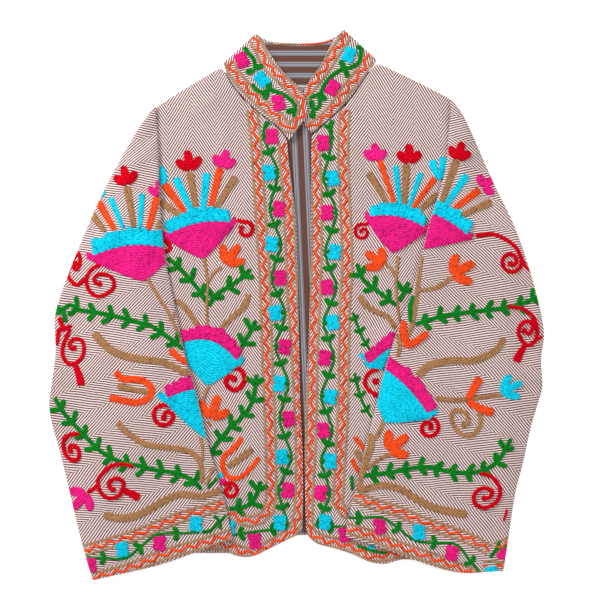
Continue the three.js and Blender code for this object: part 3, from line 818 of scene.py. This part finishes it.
def stems(work, colour, lines, width=STEM, rows=None, taper=0.12, base=0.0):
    """Plain bands, one for each line of points, a little wider where they start."""
    for points in lines:
        band(work, colour, points, width, lambda u: 1 + taper * (1 - 2 * u), 1.9, rows, base=base)


def rays(work, colour, lines, width=8.6):
    """The straight rays over a fan, from their wide tips down to the crown."""
    stems(work, colour, lines, width, None, 0.22)


def flower(work, colour, place, turn=0.0):
    """The border's flower: four thick knots, two by two, and one in their middle."""
    x, y = place
    for i, (a, b) in enumerate(((-1, -1), (1, -1), (1, 1), (-1, 1))):
        knot = turned(x, y, turn + 6 * math.sin(x + i), a * 3.5, b * (4.7 + 0.5 * math.sin(y + 2 * i)))
        blob(work, colour, knot, 4.9, 5.4, turn, 2.2, 0.7)
    blob(work, colour, place, 3.6, 4.2, turn, 2.4, 0.9)


print("motifs: fan, tulip, leaf, vine, curl, flower")

# %% [markdown]
# Borders run between two zigzags. Each zigzag has a couched tan cord on both sides. Between the
# zigzags a thin green vine swings from side to side past the flowers, with a small leaf towards each
# flower and a pair of leaves half way to the next.

# %% Border lines
ZIGZAG_PERIOD = 18.6
ZIGZAG_SWING = 2.4
ZIGZAG_WIDTH = 3.7
CORD_OFFSET = 6.0
CORD_WIDTH = 4.2
VINE_SWING = 11.5
LEAF_LEAN = 56  # degrees between a leaf and its vine


def zigzag_line(work, points):
    """An orange zigzag between two tan cords."""
    track = Track(curve(points))
    turns = max(2, round(track.length / (ZIGZAG_PERIOD / 2)))
    corners = [track.beside(i / turns, ZIGZAG_SWING * (-1) ** i) for i in range(turns + 1)]
    for side in (-1, 1):
        offset = [track.beside(i / 40, side * CORD_OFFSET) for i in range(41)]
        band(work, "cord", Track(offset), CORD_WIDTH, None, 1.2, rows=2, seed=0.2 * side, dip=0.62)
    band(work, "orange", Track(curve(corners, 4)), ZIGZAG_WIDTH, None, 1.7, rows=1)


def border_vine(work, flowers):
    """flowers: rows of (wool, place, side), where side is 1 if the vine passes to the flower's left."""
    points = []
    for i, (colour, (x, y), side) in enumerate(flowers):
        (ax, ay), (bx, by) = flowers[max(i - 1, 0)][1], flowers[min(i + 1, len(flowers) - 1)][1]
        heading = Vector((bx - ax, by - ay)).normalized()
        swung = (x - heading.y * VINE_SWING * side, y + heading.x * VINE_SWING * side)
        points.append(swung)
        flower(work, colour, (x, y), 9 * math.sin(1.7 * i))
        toward = math.degrees(math.atan2(y - swung[1], x - swung[0]))
        leaf(work, *swung, toward, 6.0, 5.0)
    line = [points[0]]
    for (ax, ay), (bx, by) in zip(points, points[1:]):
        middle = ((ax + bx) / 2, (ay + by) / 2)
        line += [middle, (bx, by)]
        back = math.degrees(math.atan2(ay - by, ax - bx))
        for lean in (-LEAF_LEAN, LEAF_LEAN):
            leaf(work, *middle, back + lean)
    band(work, "green", line, 3.9, None, 1.7, rows=1)


print("a zigzag turns every", ZIGZAG_PERIOD / 2, "mm")

# %% [markdown]
# Both fronts carry the same plan: two fans, one above the other, with rays and tulips over them, a
# thin stem between, leafy sprigs at the sides and a border along the opening and the hem. What lies
# under a sleeve or the collar is left out. The upper fan of the left front comes first.

# %% Left front, the upper fan
left = Needlework("front_left", under=["sleeve_left", "collar_left"])
rays(left, "tan", [[(-171, 129), (-142, 109)], [(-134, 166), (-126, 118)], [(-76, 160), (-102, 120)]])
rays(left, "orange", [[(-166, 151), (-137, 111)], [(-96, 171), (-109, 118)]])
rays(left, "blue", [[(-152, 159), (-131, 116)], [(-113, 165), (-118, 116)]])
blob(left, "blue", (-170, 162), 7.6, 12.5, 14)
stems(left, "green", [[(-32, 229), (-38, 226), (-41, 219), (-42, 210)]], VINE, 2)
stems(left, "red", [[(-168, 81), (-161, 78), (-159, 70), (-167, 65)]], 6.0, 2)
tulip(left, "red", (-134, 169), turn=98, size=22)
tulip(left, "pink", (-93, 172), turn=78, size=20)
fan(left, "pink", "blue", (-122, 96), half=46.5, depth=39, rise=17, bow=7, turn=11, tip=-0.06)
curl(left, (-65, 94), 10, 105, -0.85, lead=[(-76, 106)], inner=0.5)
left.tell()

# %% [markdown]
# A thin stem leads down from the upper fan. Sprigs and two branches lean out from it, and the lower
# fan and its curl close the middle of the panel.

# %% Left front, the stem and the lower fan
stems(left, "tan", [
    [(-116, 59), (-112, 28), (-113, 0), (-112, -28)],
    [(-94, 48), (-104, 40), (-111, 29)]], THIN_STEM, 1)
tulip(left, "orange", (-89, 52), turn=54, size=26, spread=44, width=10)
vine(left, [(-162, 59), (-149, 48), (-134, 32), (-122, 18), (-113, 4)], start=0.1)
vine(left, [(-58, 45), (-72, 32), (-89, 21), (-102, 12), (-111, -2)], start=0.02)
stems(left, "tan", [
    [(-61, 14), (-66, -1), (-81, -15), (-98, -32)],
    [(-152, 6), (-142, -1), (-131, -15), (-123, -29)]])
fan(left, "blue", "pink", (-112, -59), half=46, depth=40, rise=17, bow=16, turn=-16, tip=0.24, horn=9)
stems(left, "blue", [[(-91, -76), (-78, -71), (-69, -66)]], 7.8)
wind(left, [
    (-83, -79), (-74, -79), (-68, -84), (-66, -94), (-71, -102), (-79, -106), (-87, -101), (-89, -94),
    (-84, -89), (-79, -92)], 6.6)
vine(left, [(-52, -19), (-58, -32), (-66, -45), (-73, -58)], 17, start=0.04)
left.tell()

# %% [markdown]
# Below the lower fan stands an orange tulip. A long leafy sprig bends towards the sleeve, and an open
# orange bud, a curl and a small sprig fill the corner above the border.

# %% Left front, the foot
tulip(left, "orange", (-108, -140), turn=71, size=27, spread=50, width=10.5)
stems(left, "tan", [[(-119, -124), (-114, -109), (-109, -100)], [(-111, -144), (-108, -151)]], THIN_STEM, 1)
vine(left, [
    (-51, -86), (-54, -111), (-61, -129), (-72, -142), (-86, -155), (-104, -178), (-109, -196)], start=0.02)
stems(left, "orange", [
    [(-69, -165), (-79, -178), (-91, -189), (-93, -202), (-86, -214), (-72, -215), (-59, -204),
     (-47, -189)]], 6.8)
stems(left, "tan", [[(-56, -179), (-71, -191), (-88, -202)]], 8.5)
blob(left, "blue", (-96, -212), 4, 3.5, 30)
blob(left, "pink", (-93, -220), 4.5, 4.5)
curl(left, (-84, -231), 9.5, 100, -1.0, lead=[(-93, -224)], inner=0.35)
vine(left, [(-46, -219), (-51, -236), (-63, -250), (-86, -254)], 18, start=0.04)
left.tell()

# %% [markdown]
# The border goes down the opening and turns along the hem at the rounded corner, so its two zigzags
# are long curves. The flowers alternate between pink and blue, and the vine changes sides at each.

# %% Border of the left front
zigzag_line(left, [
    (-57, 244), (-52, 206), (-48, 144), (-44, 81), (-41, 38), (-38, -56), (-34, -156), (-33, -239),
    (-39, -260), (-53, -269), (-68, -268), (-89, -258), (-116, -254)])
zigzag_line(left, [
    (-17, 202), (-16, 181), (-12, 138), (-8, 56), (-6, 6), (-1, -62), (2, -119), (4, -181), (3, -244),
    (-1, -271), (-9, -284), (-32, -298), (-51, -308), (-68, -308), (-86, -300), (-116, -298)])
border_vine(left, [
    ("pink", (-32, 210), -1), ("blue", (-36, 165), 1), ("pink", (-23, 120), -1), ("blue", (-32, 76), 1),
    ("pink", (-21, 34), -1), ("blue", (-27, -10), 1), ("pink", (-16, -52), -1), ("blue", (-23, -98), 1),
    ("pink", (-11, -142), -1), ("blue", (-19, -189), 1), ("pink", (-12, -231), -1), ("blue", (-22, -271), 1),
    ("pink", (-53, -294), -1), ("blue", (-86, -278), 1)])
left.tell()

# %% [markdown]
# The sleeves carry the largest fans, and their stems run on down to the cuff. Two long curls hang
# from the upper fan of the left sleeve.

# %% Left sleeve, the upper fan
sleeve = Needlework("sleeve_left")
rays(sleeve, "tan", [[(-258, 115), (-239, 91)], [(-212, 148), (-203, 96)], [(-169, 105), (-174, 91)]])
rays(sleeve, "orange", [[(-249, 130), (-226, 91)], [(-174, 135), (-186, 92)]])
rays(sleeve, "blue", [
    [(-233, 134), (-216, 95)],
    [(-193, 139), (-196, 95)],
    [(-241, 144), (-246, 134)]], 6.8)
tulip(sleeve, "red", (-212, 151), turn=102, size=21)
tulip(sleeve, "pink", (-172, 136), turn=92, size=18, spread=46, width=8.4)
fan(sleeve, "pink", "blue", (-206, 66), half=57, depth=38, rise=21, bow=9, turn=5, tip=0.2)
wind(sleeve, [
    (-242, 52), (-255, 45), (-262, 35), (-262, 26), (-259, 18), (-252, 12), (-244, 11), (-236, 15),
    (-229, 21), (-228, 29), (-232, 35), (-239, 38), (-247, 38), (-252, 34), (-252, 29), (-248, 26),
    (-246, 26)])
wind(sleeve, [
    (-263, 34), (-269, 28), (-276, 25), (-282, 30), (-286, 36), (-286, 44), (-282, 52), (-278, 61),
    (-274, 65), (-271, 58), (-272, 49), (-276, 44), (-279, 48), (-277, 52)])
sleeve.tell()

# %% [markdown]
# A thin stem and a leafy vine cross the middle of the sleeve. The vine ends in red tendrils near the
# outer edge, and a tan branch leads below it to the lower fan.

# %% Left sleeve, the middle
stems(sleeve, "tan", [
    [(-187, 34), (-173, 11), (-159, -12), (-147, -38), (-138, -64), (-133, -90)],
    [(-147, 0), (-153, -12), (-159, -20)]], THIN_STEM, 1)
vine(sleeve, [
    (-307, -11), (-297, -9), (-284, 0), (-272, -6), (-252, -9), (-226, -14), (-204, -20), (-182, -26),
    (-162, -39), (-142, -55)], start=0.03)
stems(sleeve, "red", [
    [(-297, -15), (-294, -24), (-289, -29), (-281, -25)],
    [(-289, -29), (-297, -32), (-299, -41), (-301, -51)]], 6.0, 2)
wind(sleeve, [
    (-283, -29), (-288, -40), (-292, -50), (-293, -61), (-289, -70), (-283, -74), (-276, -72), (-269, -66),
    (-266, -59), (-266, -50), (-269, -44), (-276, -42), (-282, -45), (-284, -50), (-281, -55), (-278, -54)])
stems(sleeve, "red", [[(-269, -101), (-271, -90), (-277, -74)]], 9.5, taper=0.2)
stems(sleeve, "tan", [
    [(-253, -34), (-241, -48), (-226, -59), (-203, -66), (-168, -71), (-144, -82), (-134, -86)]], BRANCH)
stems(sleeve, "orange", [[(-158, -55), (-148, -65), (-133, -74)]], 8.0)
stems(sleeve, "orange", [
    [(-226, -82), (-217, -92), (-201, -92), (-188, -96), (-181, -105), (-186, -116), (-201, -121),
     (-219, -118), (-234, -115)]], 9.0, taper=0)
stems(sleeve, "tan", [[(-224, -101), (-202, -105), (-184, -109)]], 7.0)
fan(sleeve, "blue", "pink", (-125, -109), half=44.5, depth=58, rise=15, bow=6, turn=9, tip=0.06, horn=9)
stems(sleeve, "blue", [[(-173, -110), (-166, -116), (-156, -125)]], 8.0)
wind(sleeve, [
    (-157, -126), (-167, -124), (-176, -129), (-178, -138), (-174, -146), (-166, -149), (-158, -146),
    (-154, -138), (-159, -133), (-164, -134), (-166, -140)], 6.0)
sleeve.tell()

# %% [markdown]
# Towards the cuff a second vine crosses the sleeve between two branches. Its curls lie over it, so
# they are worked from a higher base.

# %% Left sleeve, the lower part
stems(sleeve, "tan", [
    [(-224, -145), (-214, -156), (-196, -169), (-183, -174), (-152, -178), (-134, -182), (-121, -195),
     (-118, -221)]], 7.6)
stems(sleeve, "tan", [
    [(-121, -164), (-118, -176), (-118, -194)],
    [(-102, -199), (-108, -209), (-113, -224)]], THIN_STEM, 1)
vine(sleeve, [
    (-303, -115), (-293, -132), (-281, -146), (-267, -160), (-253, -174), (-238, -186), (-216, -196),
    (-194, -200), (-176, -205), (-154, -208), (-133, -216), (-119, -229)], start=0.03)
wind(sleeve, [
    (-271, -161), (-281, -161), (-289, -165), (-292, -172), (-291, -181), (-287, -189), (-279, -194),
    (-273, -191), (-272, -184), (-274, -178), (-281, -175), (-284, -178), (-283, -182)], base=1.3)
wind(sleeve, [
    (-203, -201), (-213, -198), (-223, -198), (-233, -201), (-242, -209), (-248, -218), (-246, -230),
    (-239, -238), (-231, -240), (-222, -237), (-218, -230), (-216, -221), (-221, -216), (-228, -216),
    (-234, -221), (-233, -227), (-229, -229)], base=1.3)
stems(sleeve, "red", [[(-196, -240), (-207, -234), (-218, -230)]], 9.5, taper=0.25)
stems(sleeve, "red", [[(-247, -224), (-262, -234)]], 5.6, 2)
tulip(sleeve, "pink", (-264, -235), turn=230, size=24, spread=55, width=11.2)
stems(sleeve, "tan", [
    [(-241, -260), (-227, -264), (-209, -264), (-188, -256), (-162, -241), (-143, -235),
     (-114, -239)]], BRANCH)
stems(sleeve, "tan", [[(-92, -229), (-107, -234), (-122, -238)]], 8.5)
stems(sleeve, "green", [[(-96, -214), (-106, -221), (-112, -228)]], 4.2, 2)
sleeve.tell()

# %% [markdown]
# The cuff's border has two zigzags that follow its slant, and four flowers between them.

# %% Border of the left cuff
zigzag_line(sleeve, [(-269, -306), (-241, -298), (-197, -284), (-153, -266), (-116, -255), (-87, -246)])
zigzag_line(sleeve, [(-262, -340), (-234, -335), (-203, -325), (-166, -310), (-128, -299), (-82, -285)])
border_vine(sleeve, [
    ("pink", (-258, -324), 1), ("blue", (-218, -304), -1), ("pink", (-171, -296), 1),
    ("blue", (-126, -272), -1)])
stems(sleeve, "green", [
    [(-119, -282), (-108, -280), (-98, -270), (-88, -261)],
    [(-104, -261), (-97, -268)],
    [(-96, -279), (-96, -269)]], 4.6, 2)
sleeve.tell()

# %% [markdown]
# The right front repeats the plan with small differences, as hand work does. It lies under the right
# sleeve and under both ends of the collar.

# %% Right front, the upper fan
right = Needlework("front_right", under=["sleeve_right", "collar_right", "collar_left"])
stems(right, "green", [[(44, 231), (41, 222), (42, 212), (44, 205)], [(33, 224), (41, 221)]], VINE, 2)
rays(right, "tan", [[(88, 165), (113, 125)], [(136, 176), (133, 124)], [(176, 139), (149, 116)]])
rays(right, "orange", [[(102, 181), (122, 124)], [(172, 159), (143, 120)]], 7.0)
rays(right, "blue", [[(122, 174), (128, 124)], [(154, 165), (138, 121)]], 6.6)
tulip(right, "pink", (97, 181), turn=92, size=19)
tulip(right, "red", (139, 178), turn=90, size=21)
rays(right, "blue", [[(168, 181), (171, 169), (177, 156)], [(182, 185), (181, 170), (177, 156)]], 8.8)
fan(right, "pink", "blue", (124, 104), half=41, depth=40, rise=15, bow=7, turn=-11, tip=0.05)
curl(right, (81, 91), 10, 70, 1.2, lead=[(89, 102)], width=4.6, inner=0.2)
tulip(right, "orange", (106, 50), turn=142, size=24, spread=44)
right.tell()

# %% [markdown]
# The sleeve covers more of this panel, so only half of the lower fan shows beside it, with two small
# sprigs towards the border.

# %% Right front, the stem and the lower fan
stems(right, "tan", [
    [(108, 52), (117, 45), (123, 32)],
    [(126, 61), (123, 34), (124, 6), (127, -20)]], THIN_STEM, 1)
vine(right, [(74, 52), (82, 32), (99, 18), (124, -1)], 19, start=0.06)
vine(right, [(139, 29), (134, 19), (127, 4)], 14, start=0.04)
stems(right, "tan", [[(77, 12), (84, 1), (97, -8), (112, -15), (122, -29)]])
fan(right, "blue", "pink", (117, -55), half=38, depth=30, rise=12.5, bow=3, turn=33)
stems(right, "blue", [[(106, -79), (92, -72), (83, -66), (78, -60)]], 6.5)
wind(right, [(102, -80), (92, -83), (86, -89), (84, -98), (89, -106), (98, -112)])
blob(right, "red", (97, -95), 4.4, 4.4)
vine(right, [(69, -9), (76, -29), (83, -44), (91, -56)], 16, 8.5, 4.0, start=0.03)
vine(right, [(71, -84), (76, -106), (83, -125), (92, -140)], 18, 9, 4.0, start=0.03)
stems(right, "orange", [[(71, -164), (77, -172), (83, -181)], [(68, -191), (72, -201), (78, -209)]], 6.0)
stems(right, "tan", [[(72, -180), (77, -189), (82, -196)]], 7.0)
right.tell()

# %% [markdown]
# This border has the plan of the other one: down the opening, round the corner and along the hem.

# %% Border of the right front
zigzag_line(right, [
    (21, 206), (22, 181), (24, 131), (24, 69), (22, 6), (19, -56), (18, -119), (16, -181), (13, -244),
    (14, -279), (28, -292), (53, -298), (76, -305), (93, -315), (118, -310), (153, -310)])
zigzag_line(right, [
    (59, 244), (57, 194), (59, 131), (62, 50), (59, -6), (57, -119), (54, -181), (51, -231), (51, -251),
    (66, -261), (93, -269), (128, -274)])
border_vine(right, [
    ("pink", (32, 202), 1), ("blue", (44, 158), -1), ("pink", (37, 115), 1), ("blue", (46, 66), -1),
    ("pink", (37, 22), 1), ("blue", (44, -22), -1), ("pink", (34, -66), 1), ("blue", (41, -114), -1),
    ("pink", (32, -156), 1), ("blue", (41, -194), -1), ("pink", (29, -234), 1), ("blue", (34, -270), -1),
    ("pink", (59, -286), 1)])
stems(right, "green", [
    [(74, -299), (86, -304), (101, -308), (113, -309)],
    [(67, -212), (68, -222), (68, -231)]], 4.6, 2)
blob(right, "blue", (92, -302), 4.2, 3.2, -20, 1.8, 0.5)
right.tell()

# %% [markdown]
# The right sleeve is called arm, to tell it from the left one. A long red curl runs from its upper
# fan to the outer edge, and an orange tulip stands below.

# %% Right sleeve, the upper fan
arm = Needlework("sleeve_right")
rays(arm, "tan", [[(198, 181), (179, 128)], [(242, 129), (203, 111)]])
rays(arm, "orange", [[(227, 144), (193, 118)]])
rays(arm, "blue", [[(211, 162), (182, 121)]])
tulip(arm, "red", (199, 182), turn=74, size=20)
tulip(arm, "pink", (232, 148), turn=38, size=17, spread=68)
fan(arm, "pink", "blue", (174, 104), half=48, depth=47, rise=17, bow=7, turn=-24, tip=-0.38)
curl(arm, (266, 54), 13.5, 10, -1.35, inner=0.22,
     lead=[(221, 86), (243, 88), (259, 82), (272, 72), (278, 61)])
stems(arm, "red", [[(278, 60), (284, 49), (294, 39)], [(286, 71), (288, 64), (291, 55)]], 5.0, 2)
stems(arm, "tan", [[(154, 62), (149, 20), (144, -21)], [(193, 36), (173, 22), (148, 18)]], 5.6, 2)
tulip(arm, "orange", (193, 38), turn=29, size=28, spread=49, width=11.5)
arm.tell()

# %% [markdown]
# A vine crosses the sleeve and ends in a curl. Below it a branch and a thin stem, with its two orange
# petals and a blue tulip, lead out from the lower fan.

# %% Right sleeve, the middle
vine(arm, [
    (303, 12), (281, 2), (256, -4), (237, -6), (204, -10), (179, -14), (146, -24)], 20, 13.5, start=0.01)
wind(arm, [
    (261, -2), (278, -4), (293, -14), (299, -31), (296, -45), (286, -50), (277, -40), (276, -29),
    (283, -21), (292, -22), (293, -30), (288, -36), (283, -32)], base=1.3)
stems(arm, "green", [[(144, 12), (140, -2), (141, -22)]], 6.6, 2)
stems(arm, "tan", [[(144, -21), (141, -29), (137, -39)], [(124, -35), (127, -50), (124, -65)]], 5.8)
stems(arm, "orange", [
    [(130, -19), (132, -35), (136, -48), (140, -49), (151, -43), (162, -34)]], 9.6, base=1.2)
stems(arm, "red", [[(272, -71), (277, -61), (284, -50)]], 9.6, taper=0.3)
stems(arm, "red", [[(306, -39), (298, -44)]], 4.0, 1)
stems(arm, "tan", [
    [(149, -88), (166, -74), (192, -69), (217, -69), (237, -62), (249, -54), (257, -40)]], BRANCH)
fan(arm, "blue", "pink", (132, -104), half=50, depth=47, rise=16, bow=5, turn=-45, tip=0.24)
stems(arm, "blue", [[(154, -134), (167, -133), (174, -133)]], 9.0)
blob(arm, "blue", (107, -118), 8.5, 15, -8, 2.2, 0.4)
curl(arm, (163, -152), 12.5, 75, -1.25, lead=[(161, -140)], inner=0.2)
stems(arm, "tan", [[(171, -116), (198, -118), (226, -115), (254, -112)]], 6.5)
stems(arm, "orange", [
    [(227, -90), (219, -104), (211, -118)],
    [(244, -134), (228, -129), (211, -119)]], 10.0, base=1.3)
tulip(arm, "blue", (254, -108), turn=24, size=26, spread=38, width=9.4)
wind(arm, [
    (217, -120), (226, -134), (227, -149), (218, -161), (207, -162), (197, -154), (191, -141), (194, -132),
    (203, -131), (211, -138), (212, -146), (207, -149)], 6.2, "tan", 0)
arm.tell()

# %% [markdown]
# The lower part holds an orange tulip, a second vine with a curl over it, and a branch above the cuff.

# %% Right sleeve, the lower part
stems(arm, "tan", [[(108, -141), (101, -159), (92, -170)]], 5.5)
stems(arm, "tan", [[(91, -159), (91, -176), (84, -194), (77, -214), (74, -230)]], 10.0, taper=-0.15)
tulip(arm, "orange", (114, -180), turn=38, size=27, spread=50, width=11.5)
stems(arm, "tan", [[(117, -185), (102, -191), (86, -204)]], 5.0)
vine(arm, [
    (266, -166), (252, -190), (238, -202), (219, -208), (199, -208), (181, -205), (159, -201), (134, -204),
    (114, -208), (82, -212)], 19, 13.5, start=0.03)
wind(arm, [
    (226, -209), (239, -212), (249, -222), (252, -234), (246, -246), (233, -252), (222, -248), (219, -238),
    (226, -229), (236, -228), (242, -232), (239, -239), (232, -240)], base=1.3)
stems(arm, "tan", [
    [(211, -260), (187, -256), (168, -251), (148, -241), (129, -229), (108, -224), (92, -226),
     (74, -232)]], BRANCH)
arm.tell()

# %% [markdown]
# The cuff folds at its outer corner, so short zigzags go on past the fold, with the last flower.

# %% Border of the right cuff
zigzag_line(arm, [
    (64, -230), (81, -241), (101, -249), (123, -255), (152, -268), (188, -281), (213, -290), (239, -305)])
zigzag_line(arm, [(56, -276), (91, -286), (128, -301), (166, -314), (197, -326), (223, -336)])
zigzag_line(arm, [(246, -302), (257, -298), (271, -291)])
zigzag_line(arm, [(231, -325), (244, -325), (263, -328)])
border_vine(arm, [
    ("blue", (58, -254), -1), ("pink", (102, -275), 1), ("blue", (151, -282), -1), ("pink", (192, -308), 1),
    ("blue", (241, -334), -1)])
flower(arm, "pink", (259, -312), 60)
stems(arm, "green", [
    [(239, -314), (247, -304), (252, -292)],
    [(249, -301), (257, -305)],
    [(254, -302), (266, -298)]], 4.6, 2)
stems(arm, "red", [[(261, -254), (259, -261), (256, -269)]], 4.0, 1)
arm.tell()

# %% [markdown]
# The collar carries the border alone: zigzags follow the edges of each of its ends, with two or three
# flowers and a vine inside. The vine is short, so it is laid by its own points. Only a thread of cord
# and one of orange show along the rim at the back.

# %% Collar
collar_left = Needlework("collar_left")
zigzag_line(collar_left, [
    (-84, 305), (-82, 294), (-71, 279), (-58, 265), (-44, 251), (-32, 242), (-22, 231), (-12, 219),
    (-1, 228), (7, 239), (8, 250), (1, 261), (-13, 275), (-26, 288), (-38, 300), (-47, 319), (-56, 336)])
stems(collar_left, "green", [
    [(-67, 322), (-61, 314), (-54, 305), (-53, 292)],
    [(-57, 276), (-51, 268), (-43, 265), (-36, 268), (-27, 266), (-14, 260), (-4, 250), (-3, 241),
     (-6, 234)]], 5.6, 2)
for place, turn in (((-53, 294), 28), ((-53, 292), 190), ((-36, 266), 80), ((-36, 266), 238),
                    ((-3, 244), 200)):
    leaf(collar_left, *place, turn, 12, 7.2)
for colour, place, turn in (("pink", (-69, 305), 20), ("blue", (-44, 281), 38), ("pink", (-24, 252), 12)):
    flower(collar_left, colour, place, turn)
collar_right = Needlework("collar_right", under=["collar_left"])
zigzag_line(collar_right, [
    (88, 314), (83, 296), (71, 281), (58, 265), (47, 248), (34, 234), (21, 224), (8, 220)])
zigzag_line(collar_right, [(61, 342), (58, 331), (47, 316), (36, 298), (24, 282), (13, 268), (7, 258)])
stems(collar_right, "green", [
    [(73, 320), (78, 322), (79, 312), (76, 302), (66, 296), (58, 295), (47, 289), (38, 281), (32, 272),
     (28, 264), (14, 258)],
    [(27, 262), (28, 251), (24, 245), (18, 244)]], 5.6, 2)
for place, turn in (((59, 295), 120), ((59, 295), 290), ((28, 264), 310), ((19, 244), 100),
                    ((19, 244), 270)):
    leaf(collar_right, *place, turn, 12, 7.2)
for colour, place, turn in (("blue", (64, 312), -25), ("pink", (44, 271), -32)):
    flower(collar_right, colour, place, turn)
rim = Needlework("collar_back", under=["collar_left", "collar_right"])
stems(rim, "cord", [[(-37, 328), (-28, 326), (-14, 326), (2, 326)]], 2.6, 1)
stems(rim, "orange", [[(3, 326), (19, 326), (33, 328), (43, 331)]], 2.6, 1)
for work in (collar_left, collar_right, rim):
    work.tell()

# %% [markdown]
# Every shell stands for its solid and keeps to the one body of the jacket. A table gives the size that
# the cloth of each piece was cut to, and the cloth in all is added up from it.

# %% Finish the cloth
CUTS_OF_CLOTH = {  # node: width and length of the cut in metres, and the share of them that it fills
    "back": (0.488, 0.610, 0.90), "back_lining": (0.452, 0.590, 0.90), "front_left": (0.250, 0.613, 0.82),
    "front_right": (0.236, 0.625, 0.82), "sleeve_left": (0.380, 0.590, 0.75),
    "sleeve_right": (0.380, 0.590, 0.75), "collar_back": (0.190, 0.058, 0.90),
    "collar_facing": (0.180, 0.054, 0.90), "collar_left": (0.170, 0.058, 0.90),
    "collar_right": (0.170, 0.058, 0.90),
}
for node, shell in SHELLS.items():
    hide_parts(node)
    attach(shell, ROOT)
for work in (left, right, sleeve, arm, collar_left, collar_right, rim):
    work.finish()
cloth_area = sum(width * length * fill for width, length, fill in CUTS_OF_CLOTH.values())
print("cloth in all:", round(cloth_area, 2), "square metres")

# %% [markdown]
# A plain pale table and soft light from above and from both sides finish the picture.

# %% Floor and light


def area_light(name, place, size, power, colour=(1, 1, 1)):
    lamp = bpy.data.lights.new(name, "AREA")
    lamp.size, lamp.energy, lamp.color = size, power, colour
    light = link(bpy.data.objects.new(name, lamp))
    light.location = place
    light.rotation_euler = (-Vector(place)).to_track_quat("-Z", "Y").to_euler()


bpy.ops.mesh.primitive_plane_add(size=12, location=(0, 0, -0.0005))
floor = bpy.context.object
floor.name = "floor"
floor_material = bpy.data.materials.new("pale_floor")
floor_material.use_nodes = True
floor_shader = floor_material.node_tree.nodes["Principled BSDF"]
floor_shader.inputs["Base Color"].default_value = srgb(252, 252, 252)
floor_shader.inputs["Roughness"].default_value = 0.8
floor_shader.inputs["Emission Color"].default_value = (1, 1, 1, 1)
floor_shader.inputs["Emission Strength"].default_value = 0.4  # keeps the table as white as the photo's
floor.data.materials.append(floor_material)
area_light("key", (-1.5, 1.6, 1.5), 0.8, 56)
area_light("fill", (1.4, -0.4, 2.2), 2.0, 18)
world = bpy.data.worlds.new("studio")
bpy.context.scene.world = world
world.use_nodes = True
sky = world.node_tree.nodes["Background"]
sky.inputs["Color"].default_value = (1, 1, 1, 1)
sky.inputs["Strength"].default_value = 0.52
bpy.context.scene.view_settings.view_transform = "Standard"
print("lamps:", len(bpy.data.lights))
